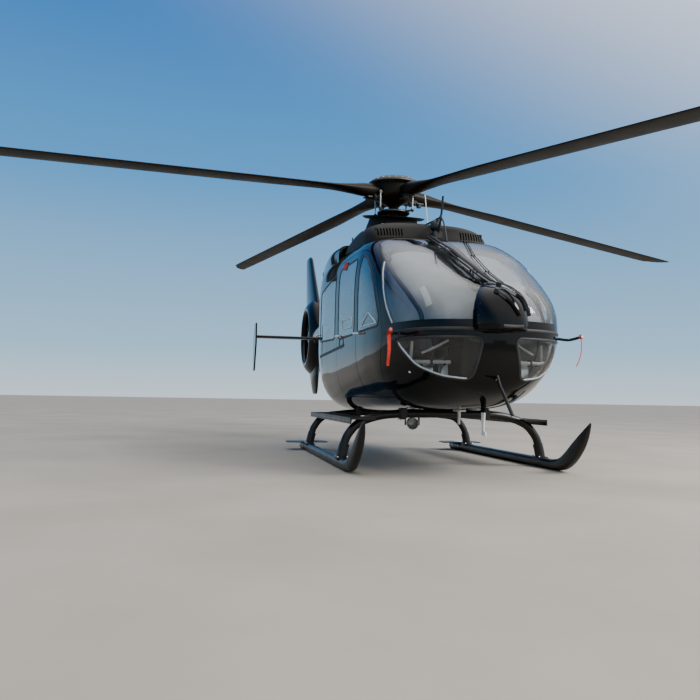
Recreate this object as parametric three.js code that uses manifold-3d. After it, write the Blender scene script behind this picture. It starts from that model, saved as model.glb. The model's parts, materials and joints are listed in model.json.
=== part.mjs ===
// A light twin-engine helicopter with four blades, a shrouded tail fan and skids.
// Millimetres, +Z up. The nose points to -Y and +X is the port side.
// Lengths along Y are stations from the rotor mast's axis, and heights along Z are waterlines
// from a datum a little under the ground. At the end the whole helicopter is moved, so that the
// origin lies on the ground under the middle of its box.

import * as THREE from 'three';
import { mergeVertices } from 'three/addons/utils/BufferGeometryUtils.js';
import Module from 'manifold-3d';

const wasm = await Module();
wasm.setup();

// Driving dimensions
const ROTOR_RADIUS = 5100;
const ROTOR_TILT = THREE.MathUtils.degToRad(2.2);
const FIRST_BLADE_ANGLE = THREE.MathUtils.degToRad(18.8);
const BLADE_COUNT = 4;
const HUB_Z = 3240;
const TAIL_END_Y = 7060;

const WALL = 40;
const GLASS = 10;
const SEAT_GAP = 0.3;
const DOOR_GAP = 6;

const BAND_TOP = 1262;
const BAND_BOTTOM = 1188;
const SILL_Z = 705;
const NOSE_REAR_Y = -2215;
const FLOOR_Z = 790;
const FLOOR_THICKNESS = 30;
const BULKHEAD_Y = 1950;
const POD_END_Y = 2250;
const TAIL_WALL = 14;

const FAN_Y = 5900;
const FAN_Z = 1900;
const FAN_RADIUS = 492;
const DUCT_RADIUS = 503;
const FAN_BLADES = 10;

const GROUND = 75;
const SKID_X = 960;
const SKID_TOP = GROUND + 92;
const FRONT_TUBE_Y = -1835;
const REAR_TUBE_Y = 26;
const TUBE_RADIUS = 38;

// Finishes: colour, roughness, metalness
const FINISH = {
  blackGloss: [0x0b0c0e, 0.12, 0.0],
  greyMatt: [0x2b2d2f, 0.55, 0.1],
  blackMatt: [0x161514, 0.6, 0.0],
  bladeBrown: [0x262220, 0.5, 0.0],
  glass: [0x5b6670, 0.05, 0.0],
  cloth: [0x303338, 0.9, 0.0],
  metal: [0x6e7072, 0.4, 0.9],
  burntMetal: [0x5a4f45, 0.45, 0.9],
  lamp: [0xc9ccd0, 0.2, 0.2],
  ribbon: [0xd5472c, 0.8, 0.0],
};

// The sides: their name and the sign of their X
const SIDES = [
  ['starboard', -1],
  ['port', 1],
];

// Shape tools

function solid(geometry) {
  const plain = geometry.clone();
  plain.deleteAttribute('normal');
  plain.deleteAttribute('uv');
  const merged = mergeVertices(plain, 1e-3);
  return new wasm.Manifold(
    new wasm.Mesh({
      numProp: 3,
      vertProperties: new Float32Array(merged.attributes.position.array),
      triVerts: new Uint32Array(merged.index.array),
    }),
  );
}

function geometryOf(body) {
  const mesh = body.getMesh();
  const geometry = new THREE.BufferGeometry();
  geometry.setAttribute('position', new THREE.BufferAttribute(mesh.vertProperties, 3));
  geometry.setIndex(new THREE.BufferAttribute(mesh.triVerts, 1));
  geometry.computeVertexNormals();
  return geometry;
}

function box(x0, x1, y0, y1, z0, z1) {
  const geometry = new THREE.BoxGeometry(x1 - x0, y1 - y0, z1 - z0);
  geometry.translate((x0 + x1) / 2, (y0 + y1) / 2, (z0 + z1) / 2);
  return solid(geometry);
}

function rounded(points, radius) {
  const shape = new THREE.Shape();
  const corners = points.map(([a, b]) => new THREE.Vector2(a, b));
  corners.forEach((corner, i) => {
    const before = corners[(i + corners.length - 1) % corners.length];
    const after = corners[(i + 1) % corners.length];
    const reach = Math.min(radius, corner.distanceTo(before) / 2.2, corner.distanceTo(after) / 2.2);
    const start = corner.clone().add(before.clone().sub(corner).setLength(reach));
    const end = corner.clone().add(after.clone().sub(corner).setLength(reach));
    if (i === 0) shape.moveTo(start.x, start.y);
    else shape.lineTo(start.x, start.y);
    shape.quadraticCurveTo(corner.x, corner.y, end.x, end.y);
  });
  shape.closePath();
  return shape;
}

// An outline moved outwards by a distance, or inwards by a negative one.
function grown(points, distance) {
  const area = THREE.ShapeUtils.area(points.map(([a, b]) => new THREE.Vector2(a, b)));
  const turn = Math.sign(area);
  return points.map((point, i) => {
    const before = points[(i + points.length - 1) % points.length];
    const after = points[(i + 1) % points.length];
    const into = [point[0] - before[0], point[1] - before[1]];
    const out = [after[0] - point[0], after[1] - point[1]];
    const intoLength = Math.hypot(...into);
    const outLength = Math.hypot(...out);
    const n1 = [(turn * into[1]) / intoLength, (-turn * into[0]) / intoLength];
    const n2 = [(turn * out[1]) / outLength, (-turn * out[0]) / outLength];
    const scale = distance / (1 + n1[0] * n2[0] + n1[1] * n2[1]);
    return [point[0] + (n1[0] + n2[0]) * scale, point[1] + (n1[1] + n2[1]) * scale];
  });
}

function extruded(points, depth, { radius = 0, grow = 0 } = {}) {
  const outline = grow ? grown(points, grow) : points;
  const corners = outline.map((p) => new THREE.Vector2(...p));
  const shape = radius ? rounded(outline, radius) : new THREE.Shape(corners);
  return new THREE.ExtrudeGeometry(shape, { depth, bevelEnabled: false, curveSegments: 4 });
}

// A side view outline, as Y and Z, extruded from x0 to x1.
function sidePrism(points, x0, x1, options) {
  const geometry = extruded(points, x1 - x0, options);
  const axes = new THREE.Matrix4().makeBasis(
    new THREE.Vector3(0, 1, 0),
    new THREE.Vector3(0, 0, 1),
    new THREE.Vector3(1, 0, 0),
  );
  geometry.applyMatrix4(axes);
  geometry.translate(x0, 0, 0);
  return solid(geometry);
}

// A front view outline, as X and Z, extruded from y0 to y1.
function frontPrism(points, y0, y1, options) {
  const geometry = extruded(points, y1 - y0, options);
  geometry.rotateX(Math.PI / 2);
  geometry.translate(0, y1, 0);
  return solid(geometry);
}

// A skin through sections along Y. Each row of the table is a section:
// y, middle x, half width, bottom, top, height of the widest line, roundness below, roundness above.
// offset moves the skin along its own normal.
function loft(table, { rings, sides, offset = 0 }) {
  const columns = table[0].length;
  const places = table.map((row, i) => i);
  const curve = new THREE.CubicInterpolant(places, table.flat(), columns, new Float64Array(columns));
  const last = table.length - 1;
  const point = (u, a) => {
    const place = THREE.MathUtils.clamp(u, 0, last);
    const [y, middle, width, bottom, top, widest, below, above] = curve.evaluate(place);
    const c = Math.cos(a);
    const s = Math.sin(a);
    const power = 2 / (s < 0 ? below : above);
    const reach = s < 0 ? widest - bottom : top - widest;
    return new THREE.Vector3(
      middle + width * Math.sign(c) * Math.abs(c) ** power,
      y,
      widest + reach * Math.sign(s) * Math.abs(s) ** power,
    );
  };
  const moved = (u, a) => {
    const at = point(u, a);
    if (!offset) return at;
    const along = point(Math.min(u + 0.02, last), a).sub(point(Math.max(u - 0.02, 0), a));
    const round = point(u, a + 0.04).sub(point(u, a - 0.04));
    return at.addScaledVector(along.cross(round).normalize(), offset);
  };
  const positions = [];
  const middles = [];
  for (let i = 0; i <= rings; i += 1) {
    const u = (i / rings) * last;
    const middle = new THREE.Vector3();
    for (let j = 0; j < sides; j += 1) {
      const at = moved(u, (2 * Math.PI * (j + 0.5)) / sides);
      middle.addScaledVector(at, 1 / sides);
      positions.push(at.x, at.y, at.z);
    }
    middles.push(middle);
  }
  const index = [];
  for (let i = 0; i < rings; i += 1) {
    for (let j = 0; j < sides; j += 1) {
      const a = i * sides + j;
      const b = i * sides + ((j + 1) % sides);
      index.push(a, a + sides, b, b, a + sides, b + sides);
    }
  }
  const front = positions.length / 3;
  [middles[0], middles[rings]].forEach((m) => positions.push(m.x, m.y, m.z));
  for (let j = 0; j < sides; j += 1) {
    const next = (j + 1) % sides;
    index.push(front, j, next);
    index.push(front + 1, rings * sides + next, rings * sides + j);
  }
  const geometry = new THREE.BufferGeometry();
  geometry.setAttribute('position', new THREE.Float32BufferAttribute(positions, 3));
  geometry.setIndex(index);
  return solid(geometry);
}

// A round bar along a smooth curve through points.
function bar(points, radius, { steps = 24, sides = 10 } = {}) {
  const places = points.map((p) => new THREE.Vector3(...p));
  const curve = new THREE.CatmullRomCurve3(places, false, 'catmullrom');
  const section = new THREE.Shape();
  for (let i = 0; i < sides; i += 1) {
    const a = (2 * Math.PI * i) / sides;
    const to = [radius * Math.cos(a), radius * Math.sin(a)];
    if (i === 0) section.moveTo(...to);
    else section.lineTo(...to);
  }
  section.closePath();
  return solid(new THREE.ExtrudeGeometry(section, { steps, extrudePath: curve, bevelEnabled: false }));
}

// A body turned about +Z from a profile of radius and height. A profile that starts and ends on
// the axis gives a full body, and any other is closed and gives a ring.
function turned(profile, segments) {
  const points = profile.map((p) => new THREE.Vector2(...p));
  if (THREE.ShapeUtils.area(points) < 0) points.reverse();
  if (profile[0][0] > 0) points.push(points[0].clone());
  const geometry = new THREE.LatheGeometry(points, segments);
  geometry.rotateX(Math.PI / 2);
  return solid(geometry);
}

function cylinder(radius, z0, z1, segments = 24) {
  return turned([[0, z0], [radius, z0], [radius, z1], [0, z1]], segments);
}

// Turns a body made about +Z so that it lies about +X.
function alongX(body) {
  return body.rotate([0, 90, 0]);
}

const helicopter = new THREE.Group();
const fixed = new THREE.Group();
helicopter.add(fixed);

function add(name, body, finish, group = fixed) {
  const [color, roughness, metalness] = FINISH[finish];
  const material = new THREE.MeshStandardMaterial({ color, roughness, metalness });
  const mesh = new THREE.Mesh(geometryOf(body), material);
  mesh.name = name;
  group.add(mesh);
  return mesh;
}

// The pod's outer form
const POD = [
  // y, x, half width, bottom, top, widest, roundness below, roundness above
  [-3065, 0, 80, 1120, 1310, 1215, 2.0, 2.0],
  [-3040, 0, 300, 930, 1440, 1225, 2.1, 2.2],
  [-2960, 0, 480, 790, 1545, 1225, 2.2, 2.4],
  [-2820, 0, 605, 705, 1635, 1240, 2.1, 2.8],
  [-2600, 0, 695, 640, 1755, 1240, 2.2, 3.3],
  [-2300, 0, 760, 610, 1915, 1240, 2.7, 4.0],
  [-1950, 0, 785, 600, 2100, 1260, 2.9, 4.9],
  [-1550, 0, 790, 590, 2255, 1280, 3.2, 5.3],
  [-1050, 0, 788, 575, 2330, 1300, 3.5, 5.4],
  [-300, 0, 786, 550, 2365, 1320, 3.8, 6.2],
  [500, 0, 780, 535, 2370, 1375, 3.4, 7.4],
  [1000, 0, 715, 660, 2355, 1440, 2.6, 6.1],
  [1350, 0, 640, 870, 2335, 1545, 3.2, 4.1],
  [1700, 0, 515, 1205, 2320, 1730, 2.5, 2.9],
  [2000, 0, 395, 1540, 2300, 1900, 2.1, 2.1],
  [POD_END_Y, 0, 305, 1725, 2275, 2000, 2.0, 2.0],
];
const POD_MESH = { rings: 24, sides: 24 };
const pod = loft(POD, POD_MESH);
const podClear = loft(POD, { ...POD_MESH, offset: SEAT_GAP });
const podUnderGlass = loft(POD, { ...POD_MESH, offset: -GLASS });
const FAR = 4000;
const podInside = loft(POD, { ...POD_MESH, offset: -WALL }).intersect(
  box(-FAR, FAR, -FAR, BULKHEAD_Y, 0, FAR),
);
const podLining = loft(POD, { ...POD_MESH, offset: -WALL - SEAT_GAP }).intersect(
  box(-FAR, FAR, -FAR, BULKHEAD_Y - SEAT_GAP, 0, FAR),
);
// Behind the bulkhead the pod is hollow too, and open to the tail boom
const podRear = loft([
  [BULKHEAD_Y + WALL, 0, 355, 1580, 2258, 1900, 2.1, 2.1],
  [POD_END_Y, 0, 262, 1768, 2232, 2000, 2.0, 2.0],
  [POD_END_Y + WALL, 0, 262, 1768, 2232, 2000, 2.0, 2.0],
], { rings: 2, sides: 20 });
const shell = pod.subtract(podInside).subtract(podRear);
const glassSkin = pod.subtract(podUnderGlass);

// Side view outlines of what is cut from the pod, as y and z
const WINDSCREEN = [[-3400, BAND_TOP], [-2575, BAND_TOP], [-2440, 1440], [-2300, 1670],
  [-2120, 1905], [-1800, 2110], [-1450, 2215], [-1450, 2700], [-3400, 2700]];
const FRONT_DOOR = [[-2190, SILL_Z], [-1585, SILL_Z], [-1585, 2100], [-1760, 2050],
  [-2020, 1895], [-2215, 1680], [-2350, 1440], [-2400, 1200]];
const FRONT_DOOR_WINDOW = [[-1640, 1300], [-1640, 2040], [-1780, 1985], [-2000, 1840],
  [-2180, 1630], [-2315, 1390], [-2300, 1300]];
const SLIDING_DOOR = [[-1570, SILL_Z], [-620, SILL_Z], [-620, 2130], [-1570, 2105]];
const SLIDING_DOOR_WINDOW = [[-1500, 1300], [-690, 1310], [-690, 2055], [-1500, 2035]];
const REAR_WINDOW = [[-500, 1330], [480, 1370], [430, 1960], [-500, 2045]];
const CLAMSHELL = [[1160, 500], [2400, 500], [2400, 1690], [1160, 1690]];

// Front view outlines, as x and z, of what is cut from the nose
const POST_HALF_TOP = 55;
const POST_HALF_BOTTOM = 105;
const CHIN_TOP = BAND_BOTTOM - 25;
const CHIN_WINDOW = [[130, CHIN_TOP], [690, CHIN_TOP], [655, 1070], [560, 945], [400, 865], [200, 840]];

function mirrored(points, sign) {
  return points.map(([a, b]) => [a * sign, b]);
}

function onSide(outline, sign, options) {
  return sidePrism(outline, sign < 0 ? -FAR : 10, sign < 0 ? -10 : FAR, options);
}

function sideBox(sign, x0, x1, ...rest) {
  return box(Math.min(sign * x0, sign * x1), Math.max(sign * x0, sign * x1), ...rest);
}

// A hinge on an upright axis just outside the skin. The door's knuckle turns between two others.
const HINGE_RADIUS = 11;
const HINGE_LENGTH = 130;
const KNUCKLE_HALF = 24.7;
const LEAF_IN = 38;
const LEAF_CLEAR = 9;
const LEAF_LENGTH = 50;
const FRONT_HINGE = { x: 758, y: -2392, heights: [1195] };
const REAR_HINGE = { x: 695, y: 1160, heights: [1330, 1600] };

function hingeParts(sign, { x, y, heights }) {
  let fixedPart = null;
  let doorPart = null;
  const joined = (body, piece) => (body ? body.add(piece) : piece);
  const barrel = (z0, z1) => cylinder(HINGE_RADIUS, z0, z1, 12).translate([sign * x, y, 0]);
  for (const z of heights) {
    for (const [z0, z1] of [[z - HINGE_LENGTH / 2, z - KNUCKLE_HALF - SEAT_GAP],
      [z + KNUCKLE_HALF + SEAT_GAP, z + HINGE_LENGTH / 2]]) {
      const foot = sideBox(sign, x - LEAF_IN, x, y - LEAF_LENGTH, y - 5, z0, z1);
      fixedPart = joined(fixedPart, barrel(z0, z1).add(foot));
    }
    const leaf = sideBox(sign, x - LEAF_IN, x, y + LEAF_CLEAR, y + LEAF_LENGTH,
      z - KNUCKLE_HALF, z + KNUCKLE_HALF);
    doorPart = joined(doorPart, barrel(z - KNUCKLE_HALF, z + KNUCKLE_HALF).add(leaf));
  }
  return { fixedPart, doorPart };
}

// The windscreens and the doors and windows of each side
const POST = [[-POST_HALF_BOTTOM, BAND_TOP], [POST_HALF_BOTTOM, BAND_TOP], [POST_HALF_TOP, 1700],
  [POST_HALF_TOP, 2600], [-POST_HALF_TOP, 2600], [-POST_HALF_TOP, 1700]];
const postBlock = frontPrism(POST, -FAR, -1000);
let frame = shell.subtract(sidePrism(WINDSCREEN, -FAR, FAR));
for (const [side, sign] of SIDES) {
  const windscreen = onSide(WINDSCREEN, sign, { grow: -SEAT_GAP }).subtract(postBlock).intersect(glassSkin);
  add(`windscreen_${side}`, windscreen, 'glass');

  const chinOutline = mirrored(CHIN_WINDOW, sign);
  frame = frame.subtract(frontPrism(chinOutline, -FAR, -2350, { radius: 60 }));
  const chinGlass = frontPrism(chinOutline, -FAR, -2350, { radius: 60, grow: -SEAT_GAP });
  add(`chin_window_${side}`, glassSkin.intersect(chinGlass), 'glass');

  const frontHinge = hingeParts(sign, FRONT_HINGE);
  frame = frame.subtract(onSide(FRONT_DOOR, sign, { radius: 40, grow: DOOR_GAP / 2 }))
    .add(frontHinge.fixedPart);
  const frontDoor = shell
    .intersect(onSide(FRONT_DOOR, sign, { radius: 40, grow: -DOOR_GAP / 2 }))
    .subtract(onSide(FRONT_DOOR_WINDOW, sign, { radius: 50 }));
  add(`front_door_${side}`, frontDoor.add(frontHinge.doorPart), 'blackGloss');
  const frontGlass = onSide(FRONT_DOOR_WINDOW, sign, { radius: 50, grow: -SEAT_GAP });
  add(`front_door_window_${side}`, glassSkin.intersect(frontGlass), 'glass');

  frame = frame.subtract(onSide(SLIDING_DOOR, sign, { radius: 50, grow: 1 }));
  const slidingDoor = shell
    .intersect(onSide(SLIDING_DOOR, sign, { radius: 50, grow: 1 - SEAT_GAP }))
    .subtract(onSide(SLIDING_DOOR_WINDOW, sign, { radius: 90 }));
  add(`sliding_door_${side}`, slidingDoor, 'blackGloss');
  const slidingGlass = onSide(SLIDING_DOOR_WINDOW, sign, { radius: 90, grow: -SEAT_GAP });
  add(`sliding_door_window_${side}`, glassSkin.intersect(slidingGlass), 'glass');

  frame = frame.subtract(onSide(REAR_WINDOW, sign, { radius: 90 }));
  const rearGlass = onSide(REAR_WINDOW, sign, { radius: 90, grow: -SEAT_GAP });
  add(`rear_window_${side}`, glassSkin.intersect(rearGlass), 'glass');

  const clamshell = shell
    .intersect(sidePrism(CLAMSHELL, -FAR, FAR, { grow: -DOOR_GAP / 2 }))
    .intersect(sideBox(sign, DOOR_GAP / 2, FAR, 0, FAR, 0, FAR));
  add(`clamshell_door_${side}`, clamshell.add(hingeParts(sign, REAR_HINGE).doorPart), 'blackGloss');
}
const clamshellCut = sidePrism(CLAMSHELL, -FAR, FAR, { grow: DOOR_GAP / 2 });
const rearHinges = SIDES.map(([, sign]) => hingeParts(sign, REAR_HINGE).fixedPart);
frame = frame.subtract(clamshellCut).add(rearHinges[0]).add(rearHinges[1]);

// The shell's own panels: nose, belly, the cabin frame with the roof and the rear walls, and
// the cone behind the bulkhead
const BELLY_TOP = 680;
const largest = (body) => {
  const parts = body.decompose();
  return parts.sort((a, b) => b.volume() - a.volume())[0];
};
const noseAerial = sidePrism([[-2800, 760], [-2700, 760], [-2725, 505], [-2725, 412],
  [-2800, 412], [-2800, 440], [-2760, 455]], -7, 7);
const bellyAerial = sidePrism([[-2250, 680], [-2190, 680], [-2195, 480], [-2230, 480]], -6, 6);
const noseRegion = box(-FAR, FAR, -FAR, NOSE_REAR_Y, 0, BAND_TOP);
const belowNose = noseAerial.add(bellyAerial).subtract(podUnderGlass)
  .intersect(box(-FAR, FAR, -FAR, NOSE_REAR_Y, 0, FAR));
add('nose_shell', largest(frame.intersect(noseRegion).add(belowNose)), 'blackGloss');
const bellyRegion = box(-FAR, FAR, NOSE_REAR_Y + SEAT_GAP, FAR, 0, BELLY_TOP);
add('belly_shell', largest(frame.intersect(bellyRegion)), 'blackGloss');
const frameRegion = box(-FAR, FAR, -FAR, BULKHEAD_Y, 0, FAR)
  .subtract(box(-FAR, FAR, -FAR - 1, NOSE_REAR_Y + SEAT_GAP, -1, BAND_TOP + SEAT_GAP))
  .subtract(box(-FAR, FAR, NOSE_REAR_Y, FAR + 1, -1, BELLY_TOP + SEAT_GAP));
add('cabin_frame', largest(frame.intersect(frameRegion)), 'blackGloss');
const coneRegion = box(-FAR, FAR, BULKHEAD_Y + SEAT_GAP, FAR, 0, FAR);
add('tail_cone', largest(frame.intersect(coneRegion)), 'blackGloss');

// The nose bay's cover bulges out between the windscreens, down to the band
const COVER = [
  // y, x, half width, bottom, top, widest, roundness below, roundness above
  [-3235, 0, 80, 1180, 1370, 1270, 2.2, 2.2],
  [-3215, 0, 155, 1150, 1450, 1270, 2.4, 2.4],
  [-3160, 0, 205, 1130, 1515, 1270, 2.6, 2.8],
  [-3040, 0, 222, 1120, 1562, 1270, 2.6, 2.8],
  [-2900, 0, 220, 1120, 1605, 1270, 2.6, 2.8],
  [-2780, 0, 190, 1120, 1640, 1270, 2.6, 2.8],
];
const COVER_BOTTOM = 1218;
const cover = loft(COVER, { rings: 10, sides: 20 })
  .intersect(box(-FAR, FAR, -FAR, -2700, COVER_BOTTOM, FAR))
  .subtract(podClear);
add('nose_bay_cover', largest(cover), 'blackGloss');

// The post between the windscreens
const post = frontPrism(POST, -FAR, -1000, { grow: -SEAT_GAP })
  .intersect(sidePrism(WINDSCREEN, -FAR, FAR, { grow: -SEAT_GAP }))
  .intersect(shell);
add('windscreen_post', largest(post.subtract(cover)), 'blackGloss');

// The cabin's floor, seats, bench and instrument console
// Behind the hinged doors the floor reaches the walls that carry it
const FLOOR_WIDE_FROM_Y = -1560;
const floorSlab = box(-FAR, FAR, -2560, 1140, FLOOR_Z - FLOOR_THICKNESS, FLOOR_Z);
const floorFront = floorSlab.intersect(loft(POD, { ...POD_MESH, offset: -WALL - DOOR_GAP }));
const floorRear = floorSlab.intersect(loft(POD, { ...POD_MESH, offset: -WALL - SEAT_GAP }))
  .intersect(box(-FAR, FAR, FLOOR_WIDE_FROM_Y, FAR, 0, FAR));
add('cabin_floor', floorFront.add(floorRear), 'greyMatt');

function seat(middleX, halfWidth, frontY, depth, panZ, backZ) {
  const rise = FLOOR_Z + SEAT_GAP;
  const underPan = panZ - 110;
  const rearY = frontY + depth;
  const profile = [[frontY + 90, rise], [rearY - 60, rise], [rearY - 60, underPan], [rearY + 20, underPan],
    [rearY + 90, backZ], [rearY - 10, backZ], [rearY - 110, panZ], [frontY, panZ], [frontY, underPan],
    [frontY + 90, underPan]];
  return sidePrism(profile, middleX - halfWidth, middleX + halfWidth);
}
for (const [side, sign] of SIDES) {
  add(`pilot_seat_${side}`, seat(sign * 355, 225, -1930, 560, 1130, 1800), 'cloth');
}
add('rear_bench', seat(0, 620, 30, 520, 1140, 1760).intersect(podLining), 'cloth');

const PEDESTAL = [[-2560, FLOOR_Z + SEAT_GAP], [-1780, FLOOR_Z + SEAT_GAP], [-1780, 960], [-2330, 1130],
  [-2330, 1420], [-2520, 1480], [-2600, 1420], [-2620, 1100]];
const PANEL = [[-2360, 1130], [-2330, 1420], [-2520, 1480], [-2600, 1420], [-2560, 1130]];
const instruments = sidePrism(PEDESTAL, -120, 120).add(sidePrism(PANEL, -330, 330));
add('instrument_console', instruments.intersect(podLining), 'blackMatt');

// Gearbox, engines and exhausts on the roof, under the cowlings
const GEARBOX_TOP = 2640;
const leaning = (body, angle, pivotZ) => body.translate([0, 0, -pivotZ])
  .rotate([THREE.MathUtils.radToDeg(angle), 0, 0])
  .translate([0, (HUB_Z - pivotZ) * Math.sin(ROTOR_TILT), pivotZ]);
const gearbox = box(-190, 190, -120, 235, 2250, GEARBOX_TOP).translate([0, 0, -HUB_Z])
  .rotate([THREE.MathUtils.radToDeg(ROTOR_TILT), 0, 0]).translate([0, 0, HUB_Z]).subtract(podClear);
add('gearbox_block', largest(gearbox), 'metal');

const EXHAUST_RADIUS = 100;
const EXHAUST_WALL = 8;
const ENGINE = { x0: 60, x1: 350, z: 2500, frontY: 400, rearY: 1250 };
for (const [side, sign] of SIDES) {
  const outline = [[ENGINE.x0, 2250], [ENGINE.x1, 2250], [ENGINE.x1, ENGINE.z], [250, 2620],
    [ENGINE.x0, 2640]];
  const engine = frontPrism(mirrored(outline, sign), ENGINE.frontY, ENGINE.rearY).subtract(podClear);
  add(`engine_${side}`, largest(engine), 'metal');
}
const EXHAUST_END_Y = 2330;
const exhaustPath = (sign) => [[sign * 250, ENGINE.rearY - 60, 2480], [sign * 250, 1700, 2480],
  [sign * 300, 2050, 2505], [sign * 372, EXHAUST_END_Y + 60, 2536]];
const exhaustSolid = (sign, radius) => bar(exhaustPath(sign), radius, { steps: 6, sides: 10 });

// The tail boom
const BOOM_END_Y = 5080;
const BOOM = [
  // y, x, half width, bottom, top, widest, roundness below, roundness above
  [POD_END_Y + SEAT_GAP, 0, 305, 1725, 2275, 2000, 2.0, 2.0],
  [2900, 0, 262, 1712, 2215, 1965, 2.0, 2.0],
  [3700, 0, 218, 1692, 2142, 1917, 2.0, 2.0],
  [4500, 0, 182, 1682, 2085, 1884, 2.0, 2.0],
  [BOOM_END_Y, 0, 162, 1680, 2055, 1868, 2.0, 2.0],
];
const BOOM_MESH = { rings: 5, sides: 16 };

// The rows of a tube's hollow, which is open at both ends
const hollowOf = (rows) => rows.map(([y, x, half, bottom, top, ...rest], i) => {
  const past = i === 0 ? -TAIL_WALL : TAIL_WALL;
  const end = i === 0 || i === rows.length - 1;
  return [end ? y + past : y, x, half - TAIL_WALL, bottom + TAIL_WALL, top - TAIL_WALL, ...rest];
});
const BOOM_CLEAR = 2;
const boomSpace = loft(BOOM.map(([y, x, half, bottom, top, ...rest]) =>
  [y - BOOM_CLEAR, x, half + BOOM_CLEAR, bottom - BOOM_CLEAR, top + BOOM_CLEAR, ...rest]), BOOM_MESH);

// The cowlings: a front one over the gearbox and a rear one over the engines, whose shoulders stand
// out on both sides and take in the engines' air through a round hole in front
const COWLING = [
  // y, x, half width, bottom, top, widest, roundness below, roundness above
  [-1440, 0, 480, 2060, 2300, 2200, 2.0, 3.0],
  [-1395, 0, 575, 2060, 2395, 2200, 2.0, 3.2],
  [-1310, 0, 620, 2060, 2452, 2200, 2.0, 3.4],
  [-1180, 0, 650, 2060, 2494, 2200, 2.0, 3.4],
  [-800, 0, 675, 2060, 2580, 2200, 2.0, 2.8],
  [-400, 0, 675, 2060, 2670, 2200, 2.0, 2.1],
  [150, 0, 655, 2060, 2745, 2200, 2.0, 1.9],
  [800, 0, 620, 2060, 2730, 2200, 2.0, 2.2],
  [1400, 0, 565, 2060, 2665, 2200, 2.0, 2.5],
  [1900, 0, 440, 2060, 2565, 2190, 2.0, 2.4],
  [2250, 0, 310, 2060, 2450, 2190, 2.0, 2.2],
  [2420, 0, 210, 2060, 2380, 2190, 2.0, 2.0],
];
const SHOULDER_FRONT_Y = -330;
const SHOULDER = [
  // y, x, half width, bottom, top, widest, roundness below, roundness above
  [SHOULDER_FRONT_Y, 520, 205, 2100, 2415, 2260, 3.0, 4.0],
  [300, 500, 215, 2100, 2478, 2280, 3.0, 4.0],
  [1000, 450, 212, 2100, 2480, 2280, 3.0, 3.6],
  [1500, 390, 190, 2100, 2445, 2270, 3.0, 3.0],
  [1950, 320, 130, 2100, 2380, 2260, 3.0, 2.6],
];
const COWLING_MESH = { rings: 14, sides: 16 };
const SHOULDER_MESH = { rings: 4, sides: 10 };
const COWLING_WALL = 22;
const COWLING_SPLIT = -380;
const cowlingForm = (offset, frontY) => {
  const middle = loft(COWLING, { ...COWLING_MESH, offset });
  return SIDES.reduce((body, [, sign]) => {
    const rows = SHOULDER.map(([y, x, ...rest]) => [y, sign * x, ...rest]);
    const shoulder = loft(rows, { ...SHOULDER_MESH, offset }).intersect(box(-FAR, FAR, frontY, FAR, 0, FAR));
    return body.add(shoulder);
  }, middle);
};
const INTAKE_RADIUS = 48;
const INTAKE = { x: 645, z: 2330 };
const intakes = SIDES.map(([, sign]) => cylinder(INTAKE_RADIUS, -50, 50, 16).rotate([90, 0, 0])
  .translate([sign * INTAKE.x, SHOULDER_FRONT_Y, INTAKE.z]));

// The collar round the mast leans forward. A thin plate with a wide lip closes it on top.
const COLLAR_TILT = THREE.MathUtils.degToRad(12);
const COLLAR_TOP = 2866;
const COLLAR_RADIUS = 330;
const COLLAR_SIDES = 24;
const collar = turned([[308, 2560], [COLLAR_RADIUS, 2560], [COLLAR_RADIUS, 2700], [286, 2842], [372, 2848],
  [375, COLLAR_TOP], [215, COLLAR_TOP], [215, 2850], [264, 2840], [308, 2694]], COLLAR_SIDES);
const collarHole = cylinder(COLLAR_RADIUS + SEAT_GAP, 2400, 3000, COLLAR_SIDES);

const cowling = cowlingForm(0, -FAR)
  .subtract(cowlingForm(-COWLING_WALL, SHOULDER_FRONT_Y + COWLING_WALL))
  .subtract(podClear)
  .subtract(leaning(collarHole, COLLAR_TILT, COLLAR_TOP))
  .subtract(intakes[0]).subtract(intakes[1]);
const exhaustClear = exhaustSolid(-1, EXHAUST_RADIUS + 2).add(exhaustSolid(1, EXHAUST_RADIUS + 2));

// The grille in the front cowling's front: a row of upright slots on each side of the middle
const GRILLE = { slots: 9, firstX: 300, pitch: 29, width: 14, z0: 2290, z1: 2372 };
let frontCowling = cowling.intersect(box(-FAR, FAR, -FAR, COWLING_SPLIT, 0, FAR));
for (const [, sign] of SIDES) {
  for (let k = 0; k < GRILLE.slots; k += 1) {
    const x = GRILLE.firstX + k * GRILLE.pitch;
    const slot = sideBox(sign, x, x + GRILLE.width, -1600, -1150, GRILLE.z0, GRILLE.z1);
    frontCowling = frontCowling.subtract(slot);
  }
}
add('front_cowling', largest(frontCowling), 'greyMatt');
const cowlingRear = cowling.intersect(box(-FAR, FAR, COWLING_SPLIT + SEAT_GAP, FAR, 0, FAR));
add('engine_cowling', largest(cowlingRear.subtract(exhaustClear).subtract(boomSpace)), 'blackGloss');
for (const [side, sign] of SIDES) {
  const pipe = exhaustSolid(sign, EXHAUST_RADIUS).subtract(exhaustSolid(sign, EXHAUST_RADIUS - EXHAUST_WALL))
    .intersect(box(-FAR, FAR, ENGINE.rearY + SEAT_GAP, EXHAUST_END_Y, 0, FAR));
  add(`exhaust_${side}`, largest(pipe), 'burntMetal');
}
add('mast_collar', leaning(collar, COLLAR_TILT, COLLAR_TOP).subtract(podClear), 'greyMatt');

// The main rotor, on its own tilted axis
const rotor = new THREE.Group();
rotor.position.z = HUB_Z;
rotor.rotation.x = ROTOR_TILT;
helicopter.add(rotor);

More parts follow.
